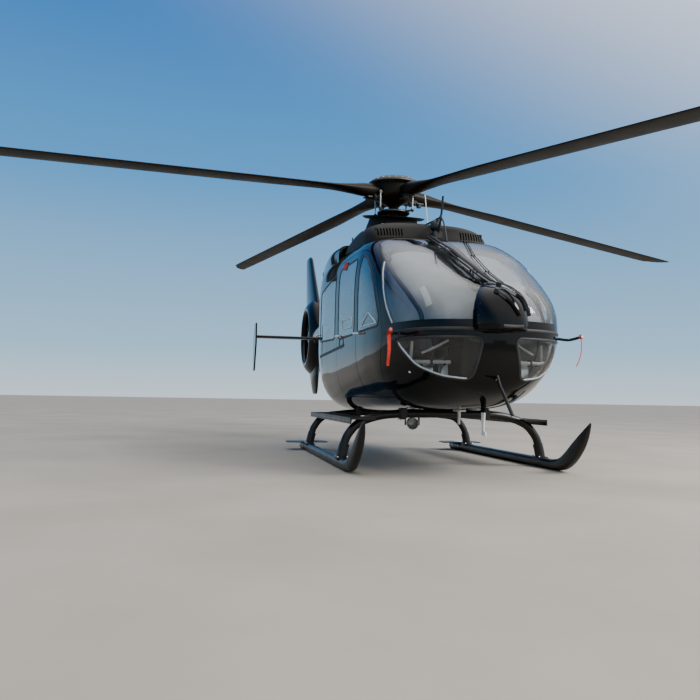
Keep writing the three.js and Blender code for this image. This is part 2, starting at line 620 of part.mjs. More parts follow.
const MAST_RADIUS = 75;
const HEAD_RADIUS = 250;
const HEAD_BOTTOM = -165;
const CAP_RADIUS = 312;
const MAST_FOOT = GEARBOX_TOP - HUB_Z + SEAT_GAP;
const mast = turned([[0, MAST_FOOT], [MAST_RADIUS, MAST_FOOT], [MAST_RADIUS, -250], [150, -215], [230, -190],
  [HEAD_RADIUS, HEAD_BOTTOM], [HEAD_RADIUS, 0], [0, 0]], 24);
const bladeTurn = [0, 0, THREE.MathUtils.radToDeg(FIRST_BLADE_ANGLE)];
add('rotor_mast', mast.rotate(bladeTurn), 'metal', rotor);
const cap = turned([[0, SEAT_GAP], [255, SEAT_GAP], [CAP_RADIUS, 10], [CAP_RADIUS, 26], [284, 58],
  [222, 86], [125, 106], [0, 113]], 24);
add('hub_cap', cap.rotate(bladeTurn), 'greyMatt', rotor);

// How far a parked blade's middle line lies under the hub's plane
const DROOP = { start: 100, slope: 65e-3 };
const droop = (r) => DROOP.start + DROOP.slope * (r - 400);
const BLADE = [
  // distance out, x (the leading edge is at -x), half chord, half thickness
  [236, 0, 62, 58],
  [320, 0, 74, 68],
  [430, 0, 90, 68],
  [620, 0, 104, 46],
  [880, 0, 116, 25],
  [1250, 5, 132, 21],
  [1700, 14, 145, 19],
  [3000, 14, 145, 18],
  [4650, 14, 145, 15],
  [4850, 30, 128, 12],
  [5020, 70, 88, 9],
  [ROTOR_RADIUS, 120, 30, 5],
].map(([r, x, chord, thick]) => [r, x, chord, -droop(r) - thick, -droop(r) + thick, -droop(r), 2.0, 2.0]);
const blade = loft(BLADE, { rings: 14, sides: 10 })
  .subtract(cylinder(HEAD_RADIUS + SEAT_GAP, -300, SEAT_GAP, 24));
for (let k = 0; k < BLADE_COUNT; k += 1) {
  const arm = new THREE.Group();
  arm.rotation.z = FIRST_BLADE_ANGLE + (k * Math.PI) / 2 - Math.PI / 2;
  rotor.add(arm);
  add(`rotor_blade_${k + 1}`, blade, 'bladeBrown', arm);
}

// The turning swashplate with its four pitch links
const SWASH = { inner: MAST_RADIUS + SEAT_GAP, outer: 195, z0: -338, z1: -308 };
const LINK_RADIUS = 11;
const LINK = [[-60, 170, -322], [-98, 235, -318], [-98, 262, -105]];
let swashplate = turned([[SWASH.inner, SWASH.z0], [SWASH.outer, SWASH.z0], [SWASH.outer, SWASH.z1],
  [SWASH.inner, SWASH.z1]], 24).rotate(bladeTurn);
const link = bar(LINK.slice(0, 2), LINK_RADIUS, { steps: 1, sides: 8 })
  .add(bar(LINK.slice(1), LINK_RADIUS, { steps: 1, sides: 8 }));
for (let k = 0; k < BLADE_COUNT; k += 1) {
  swashplate = swashplate.add(link.rotate([0, 0, THREE.MathUtils.radToDeg(FIRST_BLADE_ANGLE) + k * 90 - 90]));
}
add('swashplate', swashplate, 'metal', rotor);

const STABILISER_Y = 4010;
const STABILISER_CHORD = 410;
const STABILISER_Z = 1722;
const stabiliserOutline = (grow) => {
  const half = 27 + grow;
  return [[STABILISER_Y - grow, STABILISER_Z], [STABILISER_Y + 60, STABILISER_Z + half],
    [STABILISER_Y + 180, STABILISER_Z + half],
    [STABILISER_Y + STABILISER_CHORD + grow, STABILISER_Z + 4 + grow],
    [STABILISER_Y + STABILISER_CHORD + grow, STABILISER_Z - 4 - grow],
    [STABILISER_Y + 180, STABILISER_Z - half],
    [STABILISER_Y + 60, STABILISER_Z - half]];
};
const boomClear = sidePrism(stabiliserOutline(SEAT_GAP), -1000, 1000);
const boomTube = loft(BOOM, BOOM_MESH).subtract(loft(hollowOf(BOOM), BOOM_MESH));
add('tail_boom', boomTube.subtract(boomClear), 'blackGloss');

const END_PLATE_X = 1310;
let stabiliser = sidePrism(stabiliserOutline(0), -END_PLATE_X, END_PLATE_X);
const END_PLATE = [[3990, 1960], [4290, 1960], [4520, 1640], [4440, 1130], [4250, 1130], [3960, 1620]];
for (const [, sign] of SIDES) {
  const x = sign * END_PLATE_X;
  stabiliser = stabiliser.add(sidePrism(END_PLATE, x - 14, x + 14, { radius: 50 }));
}
add('stabiliser', stabiliser, 'blackGloss');

// The fin, the fan's shroud and the lower fin are one hollow moulding
const upright = (rows) => {
  const body = loft(rows.map(([z, lead, trail, half]) =>
    [z, (lead + trail) / 2, (trail - lead) / 2, -half, half, 0, 2.0, 2.0]), { rings: 6, sides: 12 });
  // loft's x, y, z become the helicopter's y, z, x
  return body.rotate([90, 0, 90]);
};
const UPPER_FIN = [
  // height, leading edge's y, trailing edge's y, half thickness
  [1900, 5060, 6640, 120],
  [2350, 5330, 6760, 108],
  [2900, 5800, 6880, 88],
  [3400, 6250, 7000, 66],
  [3620, 6450, 7050, 52],
  [3680, 6620, TAIL_END_Y, 22],
];
const LOWER_FIN = [
  [757, 5520, 5860, 22],
  [820, 5450, 5960, 40],
  [1100, 5420, 6200, 70],
  [1400, 5420, 6400, 100],
];
const DUCT_SIDES = 24;
const shroudProfile = [[DUCT_RADIUS, -120], [DUCT_RADIUS, 120], [DUCT_RADIUS + 12, 170],
  [DUCT_RADIUS + 45, 198],
  [DUCT_RADIUS + 100, 190], [690, 130], [745, 70], [762, 0], [745, -70], [690, -130],
  [DUCT_RADIUS + 100, -190], [DUCT_RADIUS + 45, -198], [DUCT_RADIUS + 12, -170]];
const atFan = (body) => alongX(body).translate([0, FAN_Y, FAN_Z]);
const ductHole = atFan(cylinder(DUCT_RADIUS, -400, 400, DUCT_SIDES));
const FIN_COLLAR = [
  [BOOM_END_Y + SEAT_GAP, 0, 162, 1680, 2055, 1868, 2.0, 2.0],
  [5300, 0, 158, 1640, 2080, 1868, 2.2, 2.2],
];
const collarTube = (rows) => loft(rows, { rings: 2, sides: 20 });
const finForm = upright(UPPER_FIN).add(upright(LOWER_FIN)).add(collarTube(FIN_COLLAR))
  .subtract(ductHole)
  .add(atFan(turned(shroudProfile, DUCT_SIDES)));

// What is hollow in it: the fins, the shroud and the collar, all open to the boom
const EDGE_WALL = 25;
const finHollow = (rows) => upright(rows.map(([z, lead, trail, half]) =>
  [z, lead + EDGE_WALL, trail - EDGE_WALL, half - TAIL_WALL]));
const upperRows = [...UPPER_FIN.slice(0, 4), [3600, 6430, 7040, 54]];
const lowerRows = [[790, 5500, 5900, 31], ...LOWER_FIN.slice(2)];
const shroudHollow = turned([[DUCT_RADIUS + 14, -115], [DUCT_RADIUS + 14, 115], [DUCT_RADIUS + 50, 180],
  [DUCT_RADIUS + 98, 174], [682, 115], [745, 0], [682, -115], [DUCT_RADIUS + 98, -174],
  [DUCT_RADIUS + 50, -180]], DUCT_SIDES);
const finInside = finHollow(upperRows).add(finHollow(lowerRows)).add(collarTube(hollowOf(FIN_COLLAR)))
  .subtract(atFan(cylinder(DUCT_RADIUS + TAIL_WALL, -400, 400, DUCT_SIDES)))
  .add(atFan(shroudHollow));
add('tail_fin', largest(finForm.subtract(finInside)), 'blackGloss');

// The fan, and behind it the fixed vanes with the drive's housing
const HUB_RADIUS = 160;
const FAN_X = -70;
let fan = alongX(cylinder(HUB_RADIUS, FAN_X - 50, FAN_X + 50, 24));
for (let k = 0; k < FAN_BLADES; k += 1) {
  const vane = loft([[HUB_RADIUS - 12, 0, 44, -9, 9, 0, 2.0, 2.0], [FAN_RADIUS, 0, 40, -5, 5, 0, 2.0, 2.0]],
    { rings: 1, sides: 6 }).rotate([0, 60, 0]).translate([FAN_X, 0, 0]);
  fan = fan.add(vane.rotate([(360 * k) / FAN_BLADES, 0, 0]));
}
add('tail_fan', fan.translate([0, FAN_Y, FAN_Z]), 'metal');
let stator = alongX(cylinder(150, FAN_X + 62, 175, 24))
  .add(alongX(cylinder(45, FAN_X + 50 + SEAT_GAP, 100, 16)));
for (let k = 0; k < FAN_BLADES; k += 1) {
  const vane = loft([[140, 0, 38, -8, 8, 0, 2.0, 2.0], [DUCT_RADIUS + 20, 0, 38, -8, 8, 0, 2.0, 2.0]],
    { rings: 1, sides: 6 }).rotate([0, 75, 0]).translate([105, 0, 0]);
  stator = stator.add(vane.rotate([(360 * (k + 0.5)) / FAN_BLADES, 0, 0]));
}
add('fan_stator', stator.translate([0, FAN_Y, FAN_Z])
  .intersect(atFan(cylinder(DUCT_RADIUS - SEAT_GAP, -400, 400, DUCT_SIDES))), 'blackMatt');

// The landing gear: two bent cross tubes, two skids and a step along each side
const TUBE_BEND = [[SKID_X, 130], [SKID_X - 8, 190], [912, 350], [800, 472], [600, 540], [350, 560]];
const TUBE_MIDDLE_Z = 562;
const TUBES = [
  // name, station, drop of the middle stretch
  ['front', FRONT_TUBE_Y, 0],
  ['rear', REAR_TUBE_Y, 32],
];
function tubeSolid(y, drop, radius) {
  const half = TUBE_BEND.map(([x, z]) => [x, y, x > 600 ? z : z - drop]);
  const other = half.map(([x, , z]) => [-x, y, z]).reverse();
  return bar([...half, [0, y, TUBE_MIDDLE_Z - drop], ...other], radius, { steps: 22, sides: 8 });
}
const underSkid = box(-FAR, FAR, -FAR, FAR, -FAR, SKID_TOP + SEAT_GAP);
for (const [name, y, drop] of TUBES) {
  add(`${name}_cross_tube`, largest(tubeSolid(y, drop, TUBE_RADIUS).subtract(podClear).subtract(underSkid)),
    'blackMatt');
}
const SKID = [
  // y, x, half width, bottom, top, widest, roundness below, roundness above
  [-2705, 0, 10, 488, 520, 504, 2.5, 2.5],
  [-2650, 0, 26, 385, 478, 430, 3.0, 3.0],
  [-2574, 0, 34, 278, 428, 350, 3.0, 3.0],
  [-2462, 0, 40, 178, 350, 262, 3.0, 3.0],
  [-2340, 0, 44, 108, 262, 180, 2.6, 2.6],
  [-2230, 0, 46, 82, 198, 135, 2.4, 2.4],
  [-2110, 0, 46, GROUND - 2, 172, 122, 2.4, 2.4],
  [-1950, 0, 46, GROUND - 4, SKID_TOP, 122, 2.4, 2.4],
  [300, 0, 46, GROUND - 4, SKID_TOP, 122, 2.4, 2.4],
  [450, 0, 45, GROUND - 2, SKID_TOP, 122, 2.4, 2.4],
  [480, 0, 30, 100, 144, 122, 2.0, 2.0],
];
const skidTube = loft(SKID, { rings: 16, sides: 10 });
const SADDLE_HALF = 52;
const PAW = { halfWidth: 120, y0: 180, y1: 420, z0: GROUND + 4, z1: GROUND + 14 };
const STEP = { x0: 700, x1: 925, y0: -2040, y1: 200, z0: 497, z1: 522 };
for (const [side, sign] of SIDES) {
  const x = sign * SKID_X;
  const paw = box(x - PAW.halfWidth, x + PAW.halfWidth, PAW.y0, PAW.y1, PAW.z0, PAW.z1);
  const ground = box(-FAR, FAR, -FAR, FAR, GROUND, FAR);
  const flats = TUBES.map(([, y]) => box(x - SADDLE_HALF, x + SADDLE_HALF, y - SADDLE_HALF, y + SADDLE_HALF,
    SKID_TOP - 6, SKID_TOP));
  const skid = skidTube.translate([x, 0, 0]).add(paw).intersect(ground);
  add(`skid_${side}`, skid.add(flats[0]).add(flats[1]), 'blackMatt');

  let board = sideBox(sign, STEP.x0, STEP.x1, STEP.y0, STEP.y1, STEP.z0, STEP.z1);
  for (const [, y, drop] of TUBES) board = board.subtract(tubeSolid(y, drop, TUBE_RADIUS + SEAT_GAP));
  add(`step_${side}`, largest(board), 'blackMatt');
}

// The lamp under the belly, in its round housing
const LAMP_Y = -840;
const lampProfile = [[0, 395], [42, 405], [64, 435], [66, 500], [50, 508], [50, 525], [84, 530],
  [84, 625], [0, 625]];
const lamp = turned(lampProfile, 20).translate([0, LAMP_Y, 0]).subtract(podClear);
add('belly_lamp', largest(lamp), 'lamp');

// The cable cutters over the windscreen and under the nose
const CUTTER_HALF = 8;
const upperCutter = sidePrism([[-1935, 1900], [-1855, 1900], [-1800, 2330], [-1160, 2350], [-1120, 2350],
  [-1700, 2452], [-1748, 2620], [-1768, 2620], [-1775, 2440], [-1835, 2290]], -CUTTER_HALF, CUTTER_HALF)
  .subtract(podClear).subtract(loft(COWLING, { ...COWLING_MESH, offset: SEAT_GAP }));
add('cable_cutter_upper', largest(upperCutter), 'blackMatt');
const lowerCutter = sidePrism([[-3060, 872], [-2950, 900], [-2850, 770], [-2910, 732], [-3270, 575],
  [-3300, 590], [-3160, 700], [-3090, 790]], -CUTTER_HALF, CUTTER_HALF).subtract(podClear);
add('cable_cutter_lower', largest(lowerCutter), 'blackMatt');

// The two pitot tubes on the nose band, and what hangs on them while it is parked
const PITOT_RADIUS = 12;
const pitotPath = (sign) => [[sign * 620, -2560, 1215], [sign * 700, -2640, 1212], [sign * 765, -2720, 1200],
  [sign * 800, -2860, 1218]];
const pitotTube = (sign, radius) => bar(pitotPath(sign), radius, { steps: 8, sides: 8 });
for (const [side, sign] of SIDES) {
  add(`pitot_${side}`, largest(pitotTube(sign, PITOT_RADIUS).subtract(podClear)), 'blackMatt');
}
const RIBBON_LENGTH = 250;
const sleeve = bar(pitotPath(-1).slice(2), PITOT_RADIUS + 7, { steps: 3, sides: 8 })
  .intersect(box(-FAR, FAR, -2900, -2775, 0, FAR))
  .add(box(-822, -778, -2812, -2809, 1206 - RIBBON_LENGTH, 1206))
  .subtract(pitotTube(-1, PITOT_RADIUS + 1.5));
add('pitot_cover_starboard', largest(sleeve), 'ribbon');
const portRibbon = box(793, 803, -2852, -2836, 1224 - RIBBON_LENGTH, 1228)
  .add(box(784, 814, -2856, -2832, 1196, 1238))
  .subtract(pitotTube(1, PITOT_RADIUS + SEAT_GAP));
add('pitot_ribbon_port', largest(portRibbon), 'ribbon');

// The origin goes on the ground, under the middle of the helicopter's box
const extent = new THREE.Box3().setFromObject(helicopter, true);
helicopter.position.y = -(extent.min.y + extent.max.y) / 2;
helicopter.position.z = -GROUND;
export default helicopter;
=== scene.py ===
import json
import math

import bmesh
import bpy
import numpy as np
from mathutils import Matrix, Vector


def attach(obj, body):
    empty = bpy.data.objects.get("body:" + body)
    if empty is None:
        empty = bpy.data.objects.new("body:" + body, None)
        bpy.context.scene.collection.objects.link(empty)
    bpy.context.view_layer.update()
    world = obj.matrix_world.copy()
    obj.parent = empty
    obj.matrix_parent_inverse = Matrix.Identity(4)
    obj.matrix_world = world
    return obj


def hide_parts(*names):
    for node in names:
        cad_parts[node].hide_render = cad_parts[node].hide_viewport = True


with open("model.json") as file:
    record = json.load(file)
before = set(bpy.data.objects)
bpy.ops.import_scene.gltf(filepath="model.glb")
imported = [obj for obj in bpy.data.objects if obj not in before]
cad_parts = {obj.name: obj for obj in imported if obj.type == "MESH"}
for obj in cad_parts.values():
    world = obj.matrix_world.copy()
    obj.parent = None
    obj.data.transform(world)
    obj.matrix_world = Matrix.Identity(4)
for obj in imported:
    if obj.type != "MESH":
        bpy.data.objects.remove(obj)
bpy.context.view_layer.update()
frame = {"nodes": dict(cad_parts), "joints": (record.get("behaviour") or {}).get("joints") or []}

# The camera. It stands low in front of the nose, on the starboard side, where the photograph was
# taken. Its place and turn were fitted to the helicopter's known sizes.
CAMERA_PLACE = Vector((-2.183, -9.026, 0.620))
CAMERA_RIGHT = Vector((0.97802, -0.20782, 0.01687))
CAMERA_UP = Vector((-0.03071, -0.06354, 0.99751))
FOCAL_PIXELS = 694.1
PICTURE_PIXELS = 700
SENSOR = 36.0

camera_data = bpy.data.cameras.new("camera")
camera_data.sensor_width = SENSOR
camera_data.lens = SENSOR * FOCAL_PIXELS / PICTURE_PIXELS
camera_data.clip_end = 500.0
camera = bpy.data.objects.new("camera", camera_data)
backward = CAMERA_RIGHT.cross(CAMERA_UP)
turn = Matrix((CAMERA_RIGHT, CAMERA_UP, backward)).transposed().to_4x4()
camera.matrix_world = Matrix.Translation(CAMERA_PLACE) @ turn
bpy.context.scene.collection.objects.link(camera)
bpy.context.scene.camera = camera


# The studio. A pale floor runs out to a soft blue surround. A broad white canopy of light stands in
# front and overhead, with one large soft lamp high on the port side.
def linear(hex_colour):
    """A linear RGBA colour from an sRGB hex one."""
    channels = [int(hex_colour[i:i + 2], 16) / 255 for i in (1, 3, 5)]
    return (*[c / 12.92 if c <= 0.04045 else ((c + 0.055) / 1.055) ** 2.4 for c in channels], 1.0)


def node(tree, kind, inputs=None, stops=(), **settings):
    """Adds a node. An input gets a value, or a link where an output socket is given."""
    made = tree.nodes.new(kind)
    for key, value in settings.items():
        setattr(made, key, value)
    for key, value in (inputs or {}).items():
        if isinstance(value, bpy.types.NodeSocket):
            tree.links.new(value, made.inputs[key])
        else:
            made.inputs[key].default_value = value
    for k, (place, colour) in enumerate(stops):
        elements = made.color_ramp.elements
        stop = elements[k] if k < 2 else elements.new(place)
        stop.position = place
        stop.color = linear(colour)
    return made


def coated(name, colour, roughness, drift=None, relief=None, **others):
    """Makes a material. A drift is soft noise, as its scale, detail and stretch, and runs through the
    colour's stops and the roughness's range. A relief is a texture's kind, strength, depth and inputs."""
    material = bpy.data.materials.new(name)
    material.use_nodes = True
    tree = material.node_tree
    tree.nodes.clear()
    place = node(tree, "ShaderNodeTexCoord").outputs["Object"]
    if drift:
        scale, detail, *stretch = drift
        spot = place
        if stretch:
            spot = node(tree, "ShaderNodeMapping", {"Vector": place, "Scale": stretch[0]}).outputs["Vector"]
        cloud = node(tree, "ShaderNodeTexNoise", {"Vector": spot, "Scale": scale, "Detail": detail})
        drift = cloud.outputs["Fac"]
    inputs = {key.replace("_", " "): value for key, value in others.items()}
    if isinstance(colour, str):
        inputs["Base Color"] = linear(colour)
    else:
        inputs["Base Color"] = node(tree, "ShaderNodeValToRGB", {"Fac": drift}, colour).outputs["Color"]
    inputs["Roughness"] = roughness
    if isinstance(roughness, tuple):
        low, high, start, end = (*roughness, 0.0, 1.0)[:4]
        inputs["Roughness"] = node(tree, "ShaderNodeMapRange", {
            "Value": drift, "From Min": start, "From Max": end, "To Min": low, "To Max": high}).outputs[0]
    if relief:
        kind, strength, depth, scales, *bands = relief
        texture = node(tree, f"ShaderNodeTex{kind}", {"Vector": place, **scales})
        if bands:
            texture.bands_direction = bands[0]
        height = texture.outputs["Distance" if kind == "Voronoi" else "Fac"]
        raised = node(tree, "ShaderNodeBump", {"Height": height, "Strength": strength, "Distance": depth})
        inputs["Normal"] = raised.outputs["Normal"]
    shader = node(tree, "ShaderNodeBsdfPrincipled", inputs)
    node(tree, "ShaderNodeOutputMaterial", {"Surface": shader.outputs["BSDF"]})
    return material


CANOPY_AIM = (0.35, -0.28, 0.90)
world = bpy.data.worlds.new("surround")
world.use_nodes = True
world.node_tree.nodes.clear()
tree = world.node_tree
direction = node(tree, "ShaderNodeTexCoord").outputs["Generated"]
height = node(tree, "ShaderNodeSeparateXYZ", {"Vector": direction})
SKY = [(0.0, "#d8e9f4"), (0.6, "#2468be"), (0.07, "#a8d3f0"), (0.3, "#56a2e2")]
sky = node(tree, "ShaderNodeValToRGB", {"Fac": height.outputs["Z"]}, SKY).outputs["Color"]
facing = node(tree, "ShaderNodeVectorMath", {0: direction, 1: CANOPY_AIM}, operation="DOT_PRODUCT")
canopy = node(tree, "ShaderNodeMapRange", {
    "Value": facing.outputs["Value"], "From Min": 0.1, "From Max": 0.8}, interpolation_type="SMOOTHERSTEP")
blue = node(tree, "ShaderNodeBackground", {"Color": sky, "Strength": 1.1})
white = node(tree, "ShaderNodeBackground", {"Color": linear("#fbfaf6"), "Strength": 1.9})
surround = node(tree, "ShaderNodeMixShader", {
    0: canopy.outputs["Result"], 1: blue.outputs[0], 2: white.outputs[0]})
node(tree, "ShaderNodeOutputWorld", {"Surface": surround.outputs[0]})
bpy.context.scene.world = world

LAMP_PLACE = Vector((9.0, -10.0, 9.5))
LAMP_AIM = Vector((0.0, -2.0, 1.2))
lamp_data = bpy.data.lights.new("softbox", "AREA")
lamp_data.size = 5.0
lamp_data.energy = 2600.0
lamp = bpy.data.objects.new("softbox", lamp_data)
aim = (LAMP_AIM - LAMP_PLACE).to_track_quat("-Z", "Y").to_matrix().to_4x4()
lamp.matrix_world = Matrix.Translation(LAMP_PLACE) @ aim
bpy.context.scene.collection.objects.link(lamp)

floor_material = coated("pale_screed", [(0.35, "#8f887d"), (0.65, "#9b9489")], 0.85, (0.7, 8.0))

FLOOR_HALF = 150.0
floor_mesh = bpy.data.meshes.new("studio_floor")
corners = [(x * FLOOR_HALF, y * FLOOR_HALF, -0.001) for x, y in ((-1, -1), (1, -1), (1, 1), (-1, 1))]
floor_mesh.from_pydata(corners, [], [(0, 1, 2, 3)])
floor_mesh.materials.append(floor_material)
floor = bpy.data.objects.new("studio_floor", floor_mesh)
bpy.context.scene.collection.objects.link(floor)

# The body's skin. A real one is carbon and glass fibre laid up in two moulds, filled, sanded and
# sprayed gloss black. It is one smooth form here, and each panel is cut from it.
mast = next(j for j in frame["joints"] if j["name"] == "main_rotor_spin")["pos_m"]
HUB_WATERLINE = 3.240
STATION_ZERO = mast[1]
WATERLINE_ZERO = mast[2] - HUB_WATERLINE
ZERO = np.array([0.0, STATION_ZERO, WATERLINE_ZERO])

BODY = [
    # station, middle x, half width, bottom, top, widest, roundness below, roundness above
    (-3.065, 0, 0.080, 1.120, 1.310, 1.215, 2.0, 2.0),
    (-3.040, 0, 0.300, 0.930, 1.440, 1.225, 2.1, 2.2),
    (-2.960, 0, 0.480, 0.790, 1.545, 1.225, 2.2, 2.4),
    (-2.820, 0, 0.605, 0.705, 1.635, 1.240, 2.1, 2.8),
    (-2.600, 0, 0.695, 0.640, 1.755, 1.240, 2.2, 3.3),
    (-2.300, 0, 0.760, 0.610, 1.915, 1.240, 2.7, 4.0),
    (-1.950, 0, 0.785, 0.600, 2.100, 1.260, 2.9, 4.9),
    (-1.550, 0, 0.790, 0.590, 2.255, 1.280, 3.2, 5.3),
    (-1.050, 0, 0.788, 0.575, 2.330, 1.300, 3.5, 5.4),
    (-0.300, 0, 0.786, 0.550, 2.365, 1.320, 3.8, 6.2),
    (0.500, 0, 0.780, 0.535, 2.370, 1.375, 3.4, 7.4),
    (1.000, 0, 0.715, 0.660, 2.355, 1.440, 2.6, 6.1),
    (1.350, 0, 0.640, 0.870, 2.335, 1.545, 3.2, 4.1),
    (1.700, 0, 0.515, 1.205, 2.320, 1.730, 2.5, 2.9),
    (2.000, 0, 0.395, 1.540, 2.300, 1.900, 2.1, 2.1),
    (2.250, 0, 0.305, 1.725, 2.275, 2.000, 2.0, 2.0),
]
WALL = 0.040
PANE = 0.010
FAR = 4.0
SKIN_COSINE = 0.86


def sections(table, count):
    """Section values at even steps along a table, on a smooth curve through its rows."""
    rows = np.array([table[1], *table, table[-2]], float)
    places = np.linspace(0, len(table) - 1, count)
    i = np.minimum(places.astype(int), len(table) - 2)
    p = (places - i)[:, None]
    a, b, c, d = rows[i], rows[i + 1], rows[i + 2], rows[i + 3]
    return 0.5 * (2 * b + (c - a) * p + (2 * a - 5 * b + 4 * c - d) * p**2 + (3 * b - a - 3 * c + d) * p**3)


def outside(table, x, y, z):
    """Above 0 outside the skin and below 0 inside it, for places in stations and waterlines."""
    fine = sections(table, 600)
    columns = [np.interp(y, fine[:, 0], fine[:, k]) for k in range(1, 8)]
    middle, half, bottom, top, widest, below, above = columns
    under = z < widest
    power = np.where(under, below, above)
    reach = np.where(under, widest - bottom, top - widest)
    across, up = np.abs(x - middle) / half, np.abs(z - widest) / reach
    return (across**power + up**power) ** (1 / power) - 1


def skin_normals(table, points):
    """The skin's outward direction at each place."""
    step = 0.001
    x, y, z = np.asarray(points, float).T
    first, last = table[0][0] + step, table[-1][0] - step
    y = np.clip(y, first, last)
    slope = np.stack([
        outside(table, x + step, y, z) - outside(table, x - step, y, z),
        outside(table, x, y + step, z) - outside(table, x, y - step, z),
        outside(table, x, y, z + step) - outside(table, x, y, z - step)], axis=1)
    return slope / np.maximum(np.linalg.norm(slope, axis=1), 1e-9)[:, None]


def skin_points(table, rings, sides, offset=0.0):
    """The skin's rings of points, moved out along its own direction by offset."""
    turn = 2 * np.pi * (np.arange(sides) + 0.5) / sides
    c, s = np.cos(turn), np.sin(turn)
    rows = sections(table, rings + 1)
    points = []
    for y, middle, half, bottom, top, widest, below, above in rows:
        power = np.where(s < 0, below, above)
        reach = np.where(s < 0, widest - bottom, top - widest)
        r = (np.abs(c) ** power + np.abs(s) ** power) ** (-1 / power)
        points.append(np.stack([middle + half * c * r, np.full(sides, y), widest + reach * s * r], axis=1))
    points = np.concatenate(points)
    if offset:
        points = points + offset * skin_normals(table, points)
    return points


def mesh_object(name, points, faces, material=None):
    """An object from points in stations and waterlines."""
    mesh = bpy.data.meshes.new(name)
    mesh.from_pydata((np.asarray(points, float) + ZERO).tolist(), [], faces)
    if material:
        mesh.materials.append(material)
    made = bpy.data.objects.new(name, mesh)
    bpy.context.scene.collection.objects.link(made)
    return made


def loft(name, table, rings, sides, offset=0.0, material=None):
    """A closed body through a table's sections."""
    points = skin_points(table, rings, sides, offset)
    faces = []
    for i in range(rings):
        for j in range(sides):
            a, b = i * sides + j, i * sides + (j + 1) % sides
            faces.append((a, a + sides, b + sides, b))
    faces.append(tuple(range(sides)))
    faces.append(tuple(reversed(range(rings * sides, (rings + 1) * sides))))
    return mesh_object(name, points, faces, material)


def rounded(points, radius, steps=8):
    """An outline with its corners rounded off."""
    if not radius:
        return [tuple(p) for p in points]
    corners = [Vector(p) for p in points]
    result = []
    for before, corner, after in zip(corners[-1:] + corners[:-1], corners, corners[1:] + corners[:1]):
        reach = min(radius, (corner - before).length / 2.2, (corner - after).length / 2.2)
        start = corner + (before - corner).normalized() * reach
        end = corner + (after - corner).normalized() * reach
        for k in range(steps + 1):
            t = k / steps
            result.append(tuple((1 - t) ** 2 * start + 2 * t * (1 - t) * corner + t**2 * end))
    return result


def grown(points, distance):
    """An outline moved outwards, or inwards by a negative distance."""
    area = sum(a[0] * b[1] - b[0] * a[1] for a, b in zip(points, points[1:] + points[:1]))
    turn = math.copysign(1, area)
    result = []
    for before, corner, after in zip(points[-1:] + points[:-1], points, points[1:] + points[:1]):
        n1 = Vector((corner[1] - before[1], before[0] - corner[0])).normalized() * turn
        n2 = Vector((after[1] - corner[1], corner[0] - after[0])).normalized() * turn
        result.append(tuple(Vector(corner) + (n1 + n2) * distance / (1 + n1.dot(n2))))
    return result


def prism(axis, outline, start, end, radius=0.0, grow=0.0):
    """A closed block from an outline seen from the side, the front or above, along x, y or z."""
    flat = rounded(grown(list(outline), grow), radius)
    order = {"x": (0, 1, 2), "y": (1, 0, 2), "z": (1, 2, 0)}[axis]
    count = len(flat)
    points = [[(d, a, b)[k] for k in order] for d in (start, end) for a, b in flat]
    faces = [tuple(range(count)), tuple(reversed(range(count, 2 * count)))]
    faces += [(i, i + count, (i + 1) % count + count, (i + 1) % count) for i in range(count)]
    made = mesh_object("tool", points, faces)
    face_outwards(made)
    return made


def face_outwards(body):
    """Turns a closed body's faces outwards."""
    shape = bmesh.new()
    shape.from_mesh(body.data)
    bmesh.ops.recalc_face_normals(shape, faces=shape.faces)
    shape.to_mesh(body.data)
    shape.free()


def block(x0, x1, y0, y1, z0, z1):
    """A plain block to cut or keep with."""
    return prism("y", [(x0, z0), (x1, z0), (x1, z1), (x0, z1)], y0, y1)


def settled(body):
    """Keeps what a body's modifiers make as its plain mesh."""
    made = bpy.data.meshes.new_from_object(body.evaluated_get(bpy.context.evaluated_depsgraph_get()))
    body.modifiers.clear()
    body.data = made
    return body


def carve(body, *cuts):
    """Cuts from a body, joins to it or keeps its share of each tool, in turn. The tools are used up."""
    for operation, tool in cuts:
        modifier = body.modifiers.new("carve", "BOOLEAN")
        modifier.operation = operation
        modifier.solver = "MANIFOLD"
        modifier.object = tool
        settled(body)
        bpy.data.objects.remove(tool)
    return body


def copy_of(body, name):
    """A second object with its own mesh."""
    made = bpy.data.objects.new(name, body.data.copy())
    bpy.context.scene.collection.objects.link(made)
    return made


def largest_part(body):
    """Drops all but the largest loose part of a mesh."""
    shape = bmesh.new()
    shape.from_mesh(body.data)
    left, parts = set(shape.verts), []
    while left:
        seed = left.pop()
        part, queue = {seed}, [seed]
        while queue:
            for edge in queue.pop().link_edges:
                for vert in edge.verts:
                    if vert in left:
                        left.discard(vert)
                        part.add(vert)
                        queue.append(vert)
        parts.append(part)
    keep = max(parts, key=len)
    bmesh.ops.delete(shape, geom=[v for v in shape.verts if v not in keep], context="VERTS")
    shape.to_mesh(body.data)
    shape.free()
    return body


def array_of(items, key, width=3, kind=np.float32):
    """One value of every point, corner or face of a mesh."""
    values = np.empty(len(items) * width, kind)
    items.foreach_get(key, values)
    return values.reshape(-1, width) if width > 1 else values


def smooth_skin(body, table):
    """Gives the faces that lie on the skin, outside or inside, the skin's own smooth direction."""
    mesh = body.data
    mesh.shade_smooth()
    corners = array_of(mesh.loops, "vertex_index", 1, np.int32)
    normals = skin_normals(table, array_of(mesh.vertices, "co") - ZERO)[corners]
    totals = array_of(mesh.polygons, "loop_total", 1, np.int32)
    flat = np.repeat(array_of(mesh.polygons, "normal"), totals, axis=0)
    along = np.sum(flat * normals, axis=1)[:, None]
    wanted = np.where(along > SKIN_COSINE, normals, np.where(along < -SKIN_COSINE, -normals, flat))
    mesh.normals_split_custom_set(wanted.tolist())
    return body


